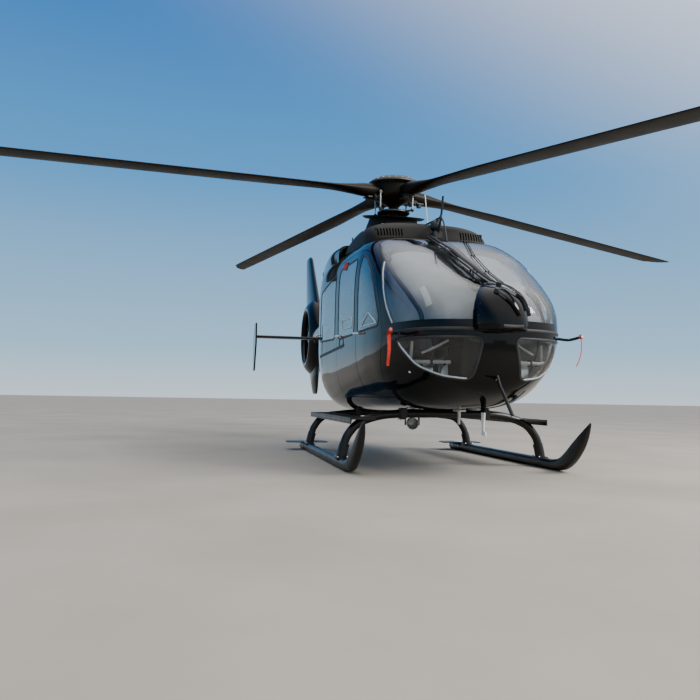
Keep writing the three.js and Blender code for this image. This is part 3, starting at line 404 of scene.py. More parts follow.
RINGS, SIDES = 150, 144
body_outside = loft("body_outside", BODY, RINGS, SIDES)
BULKHEAD = 1.950
body_inside = carve(loft("body_inside", BODY, RINGS, SIDES, -WALL),
                    ("INTERSECT", block(-FAR, FAR, -FAR, BULKHEAD, 0, FAR)))
shell = carve(copy_of(body_outside, "shell"), ("DIFFERENCE", body_inside))
pane_skin = carve(copy_of(body_outside, "pane_skin"),
                  ("DIFFERENCE", loft("under_panes", BODY, RINGS, SIDES, -PANE)))

# Gloss paint. A two-pack polyurethane is sprayed black on the filled skin and polished, so it
# mirrors what stands round it, with a slight ripple from the panels and a film of dust.
gloss_paint = coated("black_polyurethane_gloss", "#08090b", (0.03, 0.10, 0.35, 0.75), (3.0, 6.0),
                     ("Noise", 0.12, 0.02, {"Scale": 2.2, "Detail": 1.0}), IOR=1.45,
                     Specular_IOR_Level=0.22)

# Cast acrylic, 10 mm here. It is drawn over a form while hot, so it is smooth, lightly smoked and
# holds a strong mirror of the sky.
acrylic = coated("cast_acrylic_smoked", "#dfe4e5", 0.0, IOR=1.38, Transmission_Weight=1.0)

# Trim. The cabin's inner walls are lined with pale grey vinyl, wrapped over thin moulded panels, with
# a fine leather grain pressed in.
trim = coated("grained_vinyl_pale", "#a8a9a8", 0.62, None, ("Voronoi", 0.2, 0.0004, {"Scale": 420.0}))

# Windscreens, doors and windows. Each opening is cut from the skin with the same outline as its
# panel, and the panel keeps a narrow joint all round.
BAND_TOP = 1.262
BAND_BOTTOM = 1.188
SILL = 0.705
JOINT = 0.006
SCREEN_SILL = 1.300
WINDSCREEN = [(-3.4, SCREEN_SILL), (-2.545, SCREEN_SILL), (-2.44, 1.44), (-2.3, 1.67), (-2.12, 1.905),
              (-1.86, 2.075), (-1.72, 2.15), (-1.72, 2.7), (-3.4, 2.7)]
FRONT_DOOR = [(-2.19, SILL), (-1.585, SILL), (-1.585, 2.1), (-1.76, 2.05), (-2.02, 1.895), (-2.215, 1.68),
              (-2.35, 1.44), (-2.4, 1.2)]
FRONT_WINDOW = [(-1.64, 1.3), (-1.64, 2.04), (-1.78, 1.985), (-2.0, 1.84), (-2.18, 1.63), (-2.315, 1.39),
                (-2.3, 1.3)]
SLIDING_DOOR = [(-1.57, SILL), (-0.62, SILL), (-0.62, 2.13), (-1.57, 2.105)]
SLIDING_WINDOW = [(-1.5, 1.3), (-0.69, 1.31), (-0.69, 2.055), (-1.5, 2.035)]
REAR_WINDOW = [(-0.5, 1.33), (0.48, 1.37), (0.43, 1.96), (-0.5, 2.045)]
CLAMSHELL = [(1.16, 0.5), (2.4, 0.5), (2.4, 1.69), (1.16, 1.69)]
CHIN_TOP = BAND_BOTTOM - 0.025
CHIN_WINDOW = [(0.13, CHIN_TOP), (0.69, CHIN_TOP), (0.655, 1.07), (0.56, 0.945), (0.4, 0.865), (0.2, 0.84)]
POST = [(-0.105, BAND_TOP), (0.105, BAND_TOP), (0.055, 1.7), (0.055, 2.6), (-0.055, 2.6), (-0.055, 1.7)]
CHIN_CORNER = 0.06
HANDS = (("starboard", -1), ("port", 1))
DOORS = [
    # name, outline, corner, window's outline, its corner, CAD body without its hand
    ("front_door", FRONT_DOOR, 0.04, FRONT_WINDOW, 0.05, "door_front_{}"),
    ("sliding_door", SLIDING_DOOR, 0.05, SLIDING_WINDOW, 0.09, "airframe"),
]
WINDOWS = [
    # name, its seal's name, outline, corner, CAD body without its hand
    ("front_door", "front_door_seal", FRONT_WINDOW, 0.05, "door_front_{}"),
    ("sliding_door", "sliding_door_seal", SLIDING_WINDOW, 0.09, "airframe"),
    ("rear", "rear_window_seal", REAR_WINDOW, 0.09, "airframe"),
]


def side_cut(sign, outline, radius=0.0, grow=0.0):
    """A block through one side of the body."""
    return prism("x", outline, sign * 0.01, sign * FAR, radius, grow)


def nose_cut(sign, outline, radius=0.0, grow=0.0):
    """A block through one side of the nose, from in front."""
    return prism("y", [(sign * x, z) for x, z in outline], -FAR, -2.35, radius, grow)


def clad(body, material):
    """Gives a body one material."""
    body.data.materials.clear()
    body.data.materials.append(material)
    return body


def fitted(body, name, *nodes, material=None, rides_on="airframe"):
    """Names a finished piece, which stands for CAD nodes, has a material and moves with a CAD body."""
    body.name = name
    if material:
        clad(body, material)
    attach(body, rides_on)
    if nodes:
        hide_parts(*nodes)
    return body


def lined(body, table, material):
    """Gives the faces that look inwards from the skin a second material."""
    mesh = body.data
    mesh.materials.append(material)
    outwards = skin_normals(table, array_of(mesh.polygons, "center") - ZERO)
    inner = np.sum(outwards * array_of(mesh.polygons, "normal"), axis=1) < -0.5
    mesh.polygons.foreach_set("material_index", inner.astype(np.int32))
    return body


def finished(body, name, *nodes, lining=None, **settings):
    """Smooths a panel of the body's skin and fits it, with its lining."""
    fitted(smooth_skin(body, BODY), name, *nodes, **settings)
    return lined(body, BODY, lining) if lining else body


hull = copy_of(shell, "hull")
carve(hull, ("DIFFERENCE", prism("x", WINDSCREEN, -FAR, FAR)))
for hand, sign in HANDS:
    carve(hull,
          ("DIFFERENCE", nose_cut(sign, CHIN_WINDOW, CHIN_CORNER)),
          ("DIFFERENCE", side_cut(sign, FRONT_DOOR, 0.04, JOINT / 2)),
          ("DIFFERENCE", side_cut(sign, SLIDING_DOOR, 0.05, JOINT / 2)),
          ("DIFFERENCE", side_cut(sign, REAR_WINDOW, 0.09)))
    for name, outline, corner, window, window_corner, rides_on in DOORS:
        door = carve(copy_of(shell, name),
                     ("INTERSECT", side_cut(sign, outline, corner, -JOINT / 2)),
                     ("DIFFERENCE", side_cut(sign, window, window_corner)))
        finished(door, f"{name}_skin_{hand}", f"{name}_{hand}", lining=trim, material=gloss_paint,
                 rides_on=rides_on.format(hand))
    door = carve(copy_of(shell, "clamshell"),
                 ("INTERSECT", prism("x", CLAMSHELL, -FAR, FAR, 0.0, -JOINT / 2)),
                 ("INTERSECT", block(*sorted((sign * JOINT / 2, sign * FAR)), 0, FAR, 0, FAR)))
    finished(door, f"clamshell_skin_{hand}", f"clamshell_door_{hand}", lining=trim, material=gloss_paint,
             rides_on=f"door_rear_{hand}")

    windscreen = carve(copy_of(pane_skin, "windscreen"),
                       ("INTERSECT", side_cut(sign, WINDSCREEN)),
                       ("DIFFERENCE", prism("y", POST, -FAR, -1.0)))
    finished(windscreen, f"windscreen_pane_{hand}", f"windscreen_{hand}", material=acrylic)
    chin = carve(copy_of(pane_skin, "chin"), ("INTERSECT", nose_cut(sign, CHIN_WINDOW, CHIN_CORNER)))
    finished(chin, f"chin_pane_{hand}", f"chin_window_{hand}", material=acrylic)
    for name, _, outline, corner, rides_on in WINDOWS:
        pane = carve(copy_of(pane_skin, name), ("INTERSECT", side_cut(sign, outline, corner)))
        finished(pane, f"{name}_pane_{hand}", f"{name}_window_{hand}", material=acrylic,
                 rides_on=rides_on.format(hand))
carve(hull, ("DIFFERENCE", prism("x", CLAMSHELL, -FAR, FAR, 0.0, JOINT / 2)))
largest_part(hull)
finished(hull, "hull", "nose_shell", "belly_shell", "cabin_frame", "tail_cone", material=gloss_paint,
         lining=trim)


# Rubber seals round the windows and weatherstrips behind the door joints. Each is a black EPDM
# profile, extruded and pressed on. Under each chin window a pale bead of sealant is drawn as a rim,
# and its pale colour is also a painted highlight along the window's lower edge.
rubber = coated("epdm_rubber_black", [(0.35, "#131313"), (0.75, "#232221")], 0.6, (14.0, 5.0))


def on_skin(table, places, axis, inner, outer, lift=0.0):
    """Moves each place along one axis, between inner and outer, until it lies on the skin."""
    places = np.array(places, float)
    low, high = np.full(len(places), float(inner)), np.full(len(places), float(outer))
    for _ in range(40):
        places[:, axis] = (low + high) / 2
        out = outside(table, *places.T) > 0
        low, high = np.where(out, low, places[:, axis]), np.where(out, places[:, axis], high)
    return places + lift * skin_normals(table, places)


def stepped(points, step, closed=False):
    """A path's places at even steps, straight from point to point."""
    points = np.array([*points, points[0]] if closed else points, float)
    along = np.concatenate([[0], np.cumsum(np.linalg.norm(np.diff(points, axis=0), axis=1))])
    count = max(2, round(along[-1] / step))
    at = np.linspace(0, along[-1], count + 1)[:-1 if closed else None]
    return np.stack([np.interp(at, along, column) for column in points.T], axis=1)


def node_group(name, **sockets):
    """A geometry node tree with a geometry input, named inputs and a geometry output."""
    made = bpy.data.node_groups.new(name, "GeometryNodeTree")
    made.interface.new_socket("Geometry", in_out="INPUT", socket_type="NodeSocketGeometry")
    for key, kind in sockets.items():
        made.interface.new_socket(key, in_out="INPUT", socket_type=kind)
    made.interface.new_socket("Geometry", in_out="OUTPUT", socket_type="NodeSocketGeometry")
    return made


def end_nodes(tree, geometry, material):
    """Ends a geometry node tree: its instances are made real, and all takes one material."""
    real = node(tree, "GeometryNodeRealizeInstances", {"Geometry": geometry}).outputs["Geometry"]
    coated = node(tree, "GeometryNodeSetMaterial", {"Geometry": real, "Material": material})
    node(tree, "NodeGroupOutput", {"Geometry": coated.outputs["Geometry"]})


def run_nodes(body, tree, **inputs):
    """Runs a geometry node tree on a body with these inputs, and keeps what it makes as a plain mesh."""
    modifier = body.modifiers.new(tree.name, "NODES")
    modifier.node_group = tree
    identifiers = {item.name: item.identifier for item in tree.interface.items_tree if item.in_out == "INPUT"}
    for key, value in inputs.items():
        modifier[identifiers[key]] = value
    return settled(body)


# A round section of any width and height is drawn out along a path. Its height stands on the
# surface under the path.
LENGTH, COUNT = "NodeSocketFloat", "NodeSocketInt"
drawn = node_group("section_along_path", Width=LENGTH, Height=LENGTH, Sides=COUNT,
                   Material="NodeSocketMaterial")
given = node(drawn, "NodeGroupInput").outputs
upward = node(drawn, "GeometryNodeInputNamedAttribute", {"Name": "outwards"}, data_type="FLOAT_VECTOR")
path = node(drawn, "GeometryNodeMeshToCurve", {"Mesh": given["Geometry"]})
path = node(drawn, "GeometryNodeSetCurveNormal", {"Curve": path.outputs[0], "Normal": upward.outputs[0]},
            mode="FREE")
circle = node(drawn, "GeometryNodeCurvePrimitiveCircle", {"Resolution": given["Sides"], "Radius": 0.5})
size = node(drawn, "ShaderNodeCombineXYZ", {"X": given["Height"], "Y": given["Width"], "Z": 1.0})
section = node(drawn, "GeometryNodeTransform",
               {"Geometry": circle.outputs["Curve"], "Scale": size.outputs[0]})
skin = node(drawn, "GeometryNodeCurveToMesh", {
    "Curve": path.outputs["Curve"], "Profile Curve": section.outputs["Geometry"], "Fill Caps": True})
end_nodes(drawn, skin.outputs["Mesh"], given["Material"])


ASKEW = (0.31, 0.17, 0.93)


def smooth_edges(body, degrees=30):
    """Rounds the shading over all but the sharp edges."""
    body.data.shade_smooth()
    body.data.set_sharp_from_angle(angle=math.radians(degrees))
    return body


def point_out(body, outwards):
    """Writes the direction of the height at each of a body's points."""
    attribute = body.data.attributes.new("outwards", "FLOAT_VECTOR", "POINT")
    attribute.data.foreach_set("vector", np.ravel(outwards))


def along_path(places, width, height, material, closed=False, outwards=None, sides=12):
    """A body drawn out along places in stations and waterlines."""
    places = np.asarray(places, float)
    count = len(places)
    body = mesh_object("path", places, [])
    body.data.edges.add(count if closed else count - 1)
    ends = [(i, (i + 1) % count) for i in range(len(body.data.edges))]
    body.data.edges.foreach_set("vertices", np.ravel(ends))
    if outwards is None:
        outwards = np.cross(np.gradient(places, axis=0), ASKEW)
    point_out(body, outwards)
    run_nodes(body, drawn, Width=width, Height=height, Sides=sides, Material=material)
    face_outwards(body)
    return smooth_edges(body, 50)


def joined(first, *others):
    """Several bodies as one, with their materials."""
    shape = bmesh.new()
    materials = []
    for body in (first, *others):
        start = len(shape.faces)
        shape.from_mesh(body.data)
        shape.faces.ensure_lookup_table()
        own = list(body.data.materials)
        materials += [material for material in own if material not in materials]
        for face in shape.faces[start:]:
            face.material_index = materials.index(own[face.material_index])
    mesh = bpy.data.meshes.new("joined")
    shape.to_mesh(mesh)
    shape.free()
    for material in materials:
        mesh.materials.append(material)
    first.data = mesh
    for body in others:
        bpy.data.objects.remove(body)
    return first


def on_body(places, width, height, material, closed=False):
    """A body drawn out along places on the body's skin."""
    return along_path(places, width, height, material, closed, skin_normals(BODY, places))


def beside(sign, flat, lift=0.0):
    """Stations and waterlines as places on one side of the body's skin."""
    return on_skin(BODY, np.column_stack([np.zeros(len(flat)), flat]), 0, sign * 0.02, sign * 1.2, lift)


def edging(sign, outline, radius, width, height, material, lift=0.0):
    """A strip round an opening in the body's side."""
    ring = stepped(rounded(outline, radius), 0.02, closed=True)
    return on_body(beside(sign, ring, lift), width, height, material, True)


# Pale polysulphide sealant. Its pale colour is also a painted highlight on the chin windows' rims and beside
# the windscreens' edges, while the vents' frames are pale of their own.
sealant_and_highlight = coated("polysulphide_sealant_pale", [(0.3, "#a9b2b8"), (0.7, "#c5ccd0")], 0.4, (35.0, 4.0))


def curved(points, count):
    """A path's places on a smooth curve through its points."""
    return sections([list(point) for point in points], count)


SEAL_WIDTH, SEAL_HEIGHT = 0.022, 0.009
STRIP_WIDTH, STRIP_HEIGHT = 0.030, 0.006
BEHIND_SKIN = -WALL - 0.005
CHIN_HIGHLIGHT_RIM = [(0.680, 1.150), (0.645, 1.075), (0.552, 0.955), (0.398, 0.878), (0.230, 0.852)]
for hand, sign in HANDS:
    for _, name, outline, corner, rides_on in WINDOWS:
        seal = edging(sign, outline, corner, SEAL_WIDTH, SEAL_HEIGHT, rubber)
        fitted(seal, f"{name}_{hand}", rides_on=rides_on.format(hand))
    for name, outline, corner, *_ in DOORS:
        weatherstrip = edging(sign, outline, corner, STRIP_WIDTH, STRIP_HEIGHT, rubber, BEHIND_SKIN)
        fitted(weatherstrip, f"{name}_weatherstrip_{hand}")
    split = beside(sign, stepped([(1.16, 0.80), (1.16, 1.69), (1.93, 1.69)], 0.02), BEHIND_SKIN)
    weatherstrip = on_body(split, STRIP_WIDTH, STRIP_HEIGHT, rubber)
    fitted(weatherstrip, f"clamshell_weatherstrip_{hand}")
    ring = stepped(rounded([(sign * x, z) for x, z in CHIN_WINDOW], CHIN_CORNER), 0.02, closed=True)
    places = on_skin(BODY, np.column_stack([ring[:, 0], ring[:, 0] * 0, ring[:, 1]]), 1, -2.35, -3.4)
    chin_seal = on_body(places, SEAL_WIDTH, SEAL_HEIGHT, rubber, True)
    fitted(chin_seal, f"chin_seal_{hand}")
    # The rim's pale colour is a painted highlight along the chin window's lower edge, on a bead of sealant.
    swept = curved([(sign * x, -3.0, z) for x, z in CHIN_HIGHLIGHT_RIM], 60)
    swept = on_skin(BODY, swept, 1, -2.35, -3.4)
    rim = on_body(swept, 0.020, 0.007, sealant_and_highlight)
    fitted(rim, f"chin_highlight_rim_{hand}")

# The windscreens' rear edges. Each is bonded into a black rubber gasket, and a pale bead of
# polysulphide is drawn down the glass beside the door post. The bead's pale colour is also a painted
# highlight along the glass's edge.
SCREEN_TOP = WINDSCREEN[6][0]
HIGHLIGHT_STRIP_INSET = 0.016
for hand, sign in HANDS:
    edge = stepped(WINDSCREEN[1:7], 0.02)
    side = beside(sign, edge)
    top = [(x, SCREEN_TOP, 2.0) for x in np.linspace(side[-1][0], sign * 0.06, 30)[1:]]
    whole = np.concatenate([side, on_skin(BODY, top, 2, 1.9, 2.6)])
    gasket = on_body(whole, 0.020, 0.007, rubber)
    # The pale strip beside the post is a bead of sealant, and its colour is a painted highlight on the glass
    # edge.
    pale = beside(sign, edge[:36] - [HIGHLIGHT_STRIP_INSET, 0])
    strip = on_body(pale, 0.015, 0.006, sealant_and_highlight)
    fitted(joined(gasket, strip), f"screen_strip_{hand}")

# Door posts behind the windscreens' edges. Each is a bent steel tube in a black rubber sleeve, which
# carries the front door's forward hinge load. A white enamelled plate stands ahead of its bend.
powder_coat = coated("black_powder_coat", "#17181a", 0.42, None,
                     ("Noise", 0.12, 0.0004, {"Scale": 500.0, "Detail": 1.0}))

enamel = coated("white_enamel", [(0.3, "#c9c7c1"), (0.7, "#e6e4df")], 0.35, (20.0, 4.0))

aluminium = coated("brushed_aluminium", "#b9bbbd", (0.22, 0.4), (1.0, 3.0, (30.0, 30.0, 900.0)), Metallic=1.0)


def softened(body, width, segments=2):
    """Rounds a body's sharp edges off by a width."""
    shape = bmesh.new()
    shape.from_mesh(body.data)
    edges = [edge for edge in shape.edges if edge.is_manifold and edge.calc_face_angle() > math.radians(28)]
    bmesh.ops.bevel(shape, geom=edges, offset=width, segments=segments, affect="EDGES", clamp_overlap=True)
    bmesh.ops.recalc_face_normals(shape, faces=shape.faces)
    shape.to_mesh(body.data)
    shape.free()
    return smooth_edges(body, 40)


DOOR_POST = [(0.648, -1.760, 2.078), (0.655, -1.985, 1.985), (0.660, -2.298, 1.789), (0.645, -2.472, 1.675),
             (0.624, -2.637, 1.560), (0.603, -2.762, 1.456), (0.579, -2.830, 1.375), (0.560, -2.810, 1.300),
             (0.552, -2.760, 1.220)]
for hand, sign in HANDS:
    path = curved([(sign * x, y, z) for x, y, z in DOOR_POST], 60)
    post = along_path(path - 0.034 * skin_normals(BODY, path), 0.038, 0.038, rubber)
    plate = on_skin(BODY, [(sign * 0.520, -2.8, z) for z in np.linspace(1.431, 1.615, 12)], 1, -2.3, -3.3,
                    -0.045)
    bracket = on_body(plate, 0.052, 0.005, enamel)
    fitted(joined(post, bracket), f"door_post_{hand}")

# Door furniture. The handles are bright bars on two studs, and a slide rail for the rear door is let
# into the skin behind it. The small vents in the door windows have pale moulded frames.
chrome = coated("polished_stainless", "#d2d3d2", (0.08, 0.22), (60.0, 3.0), Metallic=1.0)


def circle(count, radius, centre=(0.0, 0.0), height=None):
    """Even places round a circle, or round an oval with another height."""
    turns = [2 * math.pi * k / count for k in range(count)]
    return [(centre[0] + radius * math.cos(a), centre[1] + (height or radius) * math.sin(a)) for a in turns]


HANDLES = [("front", -1.840, 1.280, -1.610, 1.296, "door_front"),
           ("sliding", -0.955, 1.330, -0.700, 1.345, None), ("rear", 0.540, 1.470, 0.770, 1.482, None)]
for hand, sign in HANDS:
    for name, y0, z0, y1, z1, door in HANDLES:
        bar = beside(sign, stepped([(y0, z0), (y1, z1)], 0.015), 0.032)
        feet = beside(sign, [(y0 + 0.025, z0), (y1 - 0.025, z1)])
        handle = on_body(bar, 0.022, 0.016, chrome)
        for foot, out in zip(feet, skin_normals(BODY, feet)):
            stud = [foot - 0.004 * out, foot + 0.015 * out, foot + 0.030 * out]
            joined(handle, along_path(stud, 0.014, 0.014, chrome))
        fitted(handle, f"{name}_door_handle_{hand}", rides_on=f"{door}_{hand}" if door else "airframe")
    rail = beside(sign, stepped([(-1.020, 1.226), (0.498, 1.188)], 0.03))
    rail = on_body(rail, 0.034, 0.008, rubber)
    pocket = beside(sign, stepped(circle(24, 0.105, (-0.880, 1.262), 0.052), 0.02))
    pocket = on_body(pocket, 0.020, 0.010, rubber, True)
    fitted(joined(rail, pocket), f"slide_rail_{hand}")
    for name, pane, rides_on in (
            ("front_vent", [(-1.800, 1.338), (-2.270, 1.330), (-2.040, 1.445)], f"door_front_{hand}"),
            ("sliding_vent", [(-0.906, 1.393), (-1.412, 1.373), (-1.40, 1.470), (-0.906, 1.486)],
             "airframe")):
        frame_strip = edging(sign, pane, 0.03, 0.012, 0.012, sealant_and_highlight, 0.001)
        fitted(frame_strip, f"{name}_{hand}", rides_on=rides_on)

# The nose bay's cover, a lift-off carbon shell over the battery and the radios, with the post that
# stands between the windscreens.
COVER = [
    # station, middle x, half width, bottom, top, widest, roundness below, roundness above
    (-3.235, 0, 0.030, 1.225, 1.330, 1.270, 2.0, 2.0),
    (-3.222, 0, 0.105, 1.175, 1.400, 1.270, 2.0, 2.0),
    (-3.180, 0, 0.165, 1.145, 1.468, 1.270, 2.1, 2.1),
    (-3.100, 0, 0.205, 1.125, 1.530, 1.270, 2.2, 2.2),
    (-3.000, 0, 0.222, 1.120, 1.572, 1.270, 2.3, 2.3),
    (-2.890, 0, 0.220, 1.120, 1.606, 1.270, 2.3, 2.3),
    (-2.780, 0, 0.190, 1.120, 1.640, 1.270, 2.3, 2.3),
]
COVER_BOTTOM = 1.218
cover_form = carve(loft("cover_form", COVER, 60, 96),
                   ("INTERSECT", block(-FAR, FAR, -FAR, -2.7, COVER_BOTTOM, FAR)))
post = carve(copy_of(shell, "post"),
             ("INTERSECT", prism("y", POST, -FAR, -1.0, 0.0, -0.001)),
             ("INTERSECT", prism("x", WINDSCREEN, -FAR, FAR, 0.0, -0.001)),
             ("DIFFERENCE", copy_of(cover_form, "cover_tool")))
finished(largest_part(post), "windscreen_post_skin", "windscreen_post", material=gloss_paint)
cover = largest_part(carve(cover_form, ("DIFFERENCE", copy_of(body_outside, "body_tool"))))
fitted(smooth_skin(cover, COVER), "nose_cover", "nose_bay_cover", material=gloss_paint)

# The screws that hold the cover's rim. They are domed steel screws with a black oxide finish, set
# through the shell into the nose.
heads_tree = node_group("heads_on_places", Radius=LENGTH, Height=LENGTH, Sides=COUNT,
                        Material="NodeSocketMaterial")
given = node(heads_tree, "NodeGroupInput").outputs
upward = node(heads_tree, "GeometryNodeInputNamedAttribute", {"Name": "outwards"}, data_type="FLOAT_VECTOR")
aligned = node(heads_tree, "FunctionNodeAlignRotationToVector", {"Vector": upward.outputs[0]}, axis="Z")
crown = node(heads_tree, "ShaderNodeMath", {0: given["Radius"], 1: 0.7}, operation="MULTIPLY")
head = node(heads_tree, "GeometryNodeMeshCone", {
    "Vertices": given["Sides"], "Radius Top": crown.outputs[0], "Radius Bottom": given["Radius"],
    "Depth": given["Height"]})
placed = node(heads_tree, "GeometryNodeInstanceOnPoints", {
    "Points": given["Geometry"], "Instance": head.outputs["Mesh"], "Rotation": aligned.outputs["Rotation"]})
end_nodes(heads_tree, placed.outputs["Instances"], given["Material"])


def heads(places, outwards, radius, height, material, sides=12):
    """Small domed heads of screws, rivets or catches on places in stations and waterlines."""
    outwards = np.broadcast_to(np.asarray(outwards, float), (len(places), 3))
    body = mesh_object("heads", np.asarray(places, float) - 0.0005 * outwards, [])
    point_out(body, outwards)
    run_nodes(body, heads_tree, Radius=radius, Height=height, Sides=sides, Material=material)
    return smooth_edges(body, 50)


black_oxide = coated("black_oxide_steel", "#3c3b3a", (0.3, 0.5), (90.0, 4.0), Metallic=1.0)

rim = []
for k in range(25):
    a = math.radians(-8 + 196 * k / 24)
    rim.append((0.196 * math.cos(a), -3.3, 1.262 + 0.30 * max(0.0, math.sin(a)) ** 0.8))
rim = on_skin(COVER, rim, 1, -2.80, -3.30)
rim_out = skin_normals(COVER, rim)
fitted(heads(rim[::2], rim_out[::2], 0.0055, 0.0025, black_oxide), "nose_cover_screws")

# Wiper arms and washer hoses. The hoses are black rubber and run down the post and beside it on
# small saddles. The arms are pressed steel in black powder coat, and each carries a rubber blade.
POST_RUN = [(-0.087, -1.650, 2.235), (-0.099, -1.968, 2.100), (-0.070, -2.138, 2.012),
            (-0.058, -2.367, 1.888), (-0.040, -2.535, 1.795), (-0.030, -2.740, 1.685),
            (-0.001, -2.880, 1.600)]
PORT_RUN = [(0.250, -1.640, 2.235), (0.168, -1.950, 2.100), (0.110, -2.200, 1.975), (0.085, -2.450, 1.840),
            (0.070, -2.684, 1.715), (0.090, -2.860, 1.612)]
runs = []
for points, aside, lift, size in (
        (POST_RUN, 0.0, 0.030, 0.016), (POST_RUN, -0.028, 0.020, 0.012), (POST_RUN, 0.030, 0.022, 0.014),
        (PORT_RUN, 0.0, 0.012, 0.009), (PORT_RUN, 0.026, 0.010, 0.008)):
    path = on_skin(BODY, curved([(x + aside, y, z) for x, y, z in points], 50), 2, 1.3, 2.7)
    path += lift * skin_normals(BODY, path)
    runs.append(along_path(path, size, size, rubber))
    feet = path[4::16]
    for foot, o in zip(feet, skin_normals(BODY, feet)):
        saddle = [foot - (lift + 0.002) * o, foot - 0.4 * lift * o, foot + 0.005 * o]
        runs.append(along_path(saddle, 0.014, 0.014, powder_coat, sides=8))
fitted(joined(*runs), "post_hoses")

WIPER_ARMS = [
    [(-0.060, -3.040, 1.500), (-0.037, -3.190, 1.466), (0.015, -3.231, 1.400), (0.075, -3.233, 1.315)],
    [(0.035, -2.900, 1.585), (0.110, -3.060, 1.520), (0.165, -3.120, 1.440), (0.200, -3.110, 1.330)],
    [(0.010, -2.930, 1.585), (0.060, -3.100, 1.510), (0.130, -3.170, 1.450), (0.150, -3.190, 1.360)],
]
arms = []
for points in WIPER_ARMS:
    path = on_skin(COVER, curved(points, 30), 1, -2.85, -3.30)
    out = skin_normals(COVER, path)
    arm = path + 0.020 * out
    arms += [along_path(arm[:18], 0.014, 0.010, powder_coat, outwards=out[:18]),
             along_path(arm[12:], 0.007, 0.018, powder_coat, outwards=out[12:]),
             along_path(path[14:] + 0.008 * out[14:], 0.006, 0.016, rubber, outwards=out[14:])]
pivots = on_skin(COVER, [WIPER_ARMS[0][0], WIPER_ARMS[1][0]], 1, -2.80, -3.30)
arms.append(heads(pivots, (0, -0.5, 0.85), 0.024, 0.030, powder_coat, 20))
fitted(joined(*arms), "wiper_arms")

# Matt grey paint on the front cowling, which keeps glare out of the pilots' eyes. It is a sprayed
# two-pack primer, browned by soot and dust.
matt_grey = coated("grey_anti_glare_paint", [(0.3, "#100f0c"), (0.7, "#191712")], 0.6,
                   (1.6, 6.0, (3.0, 0.8, 5.0)), ("Noise", 0.15, 0.0005, {"Scale": 900.0, "Detail": 2.0}),
                   Specular_IOR_Level=0.2)

# The cowlings, one over the gearbox and one over the engines. They are carbon sandwich shells, held
# by quarter-turn catches. The rear one's shoulders take in the engines' air.
COWLING = [
    # station, middle x, half width, bottom, top, widest, roundness below, roundness above
    (-1.440, 0, 0.480, 2.060, 2.300, 2.200, 2.0, 3.0),
    (-1.395, 0, 0.575, 2.060, 2.395, 2.200, 2.0, 3.2),
    (-1.310, 0, 0.620, 2.060, 2.452, 2.200, 2.0, 3.4),
    (-1.180, 0, 0.650, 2.060, 2.494, 2.200, 2.0, 3.4),
    (-0.800, 0, 0.675, 2.060, 2.580, 2.200, 2.0, 2.8),
    (-0.400, 0, 0.675, 2.060, 2.670, 2.200, 2.0, 2.1),
    (0.150, 0, 0.655, 2.060, 2.745, 2.200, 2.0, 1.9),
    (0.800, 0, 0.620, 2.060, 2.730, 2.200, 2.0, 2.2),
    (1.400, 0, 0.565, 2.060, 2.665, 2.200, 2.0, 2.5),
    (1.900, 0, 0.440, 2.060, 2.565, 2.190, 2.0, 2.4),
    (2.250, 0, 0.310, 2.060, 2.450, 2.190, 2.0, 2.2),
    (2.420, 0, 0.210, 2.060, 2.380, 2.190, 2.0, 2.0),
]
SHOULDER_FRONT = -0.330
SHOULDER = [
    # station, middle x, half width, bottom, top, widest, roundness below, roundness above
    (SHOULDER_FRONT, 0.520, 0.205, 2.100, 2.415, 2.260, 3.0, 4.0),
    (0.300, 0.500, 0.215, 2.100, 2.478, 2.280, 3.0, 4.0),
    (1.000, 0.450, 0.212, 2.100, 2.480, 2.280, 3.0, 3.6),
    (1.500, 0.390, 0.190, 2.100, 2.445, 2.270, 3.0, 3.0),
    (1.950, 0.320, 0.130, 2.100, 2.380, 2.260, 3.0, 2.6),
]
COWLING_WALL = 0.022
COWLING_SPLIT = -0.380


def cowling_form(offset, front):
    """The cowlings' closed form with both shoulders, moved in by offset."""
    form = loft("cowling", COWLING, 90, 96, offset)
    for hand, sign in HANDS:
        rows = [(y, sign * x, *rest) for y, x, *rest in SHOULDER]
        shoulder = loft("shoulder", rows, 60, 64, offset)
        carve(form, ("UNION", carve(shoulder, ("INTERSECT", block(-FAR, FAR, front, FAR, 0, FAR)))))
    return form


def cylinder(axis, centre, radius, start, end, sides=48):
    """A closed round bar along x, y or z through a centre given by its other two places."""
    return prism(axis, circle(sides, radius, centre), start, end)


cowling = carve(cowling_form(0.0, -FAR),
                ("DIFFERENCE", cowling_form(-COWLING_WALL, SHOULDER_FRONT + COWLING_WALL)),
                ("DIFFERENCE", copy_of(body_outside, "body_tool")))
for hand, sign in HANDS:
    intake = cylinder("y", (sign * 0.645, 2.330), 0.048, SHOULDER_FRONT - 0.05, SHOULDER_FRONT + 0.05)
    carve(cowling, ("DIFFERENCE", intake))

COLLAR_TILT = math.radians(12)
COLLAR_TOP = 2.866
ROTOR_TILT = math.radians(2.2)
COLLAR_PROFILE = [(0.308, 2.56), (0.33, 2.56), (0.33, 2.7), (0.286, 2.836), (0.345, 2.843), (0.374, 2.860),
                  (0.375, COLLAR_TOP), (0.371, COLLAR_TOP), (0.342, 2.851), (0.215, 2.849), (0.215, 2.841),
                  (0.264, 2.832), (0.308, 2.694)]


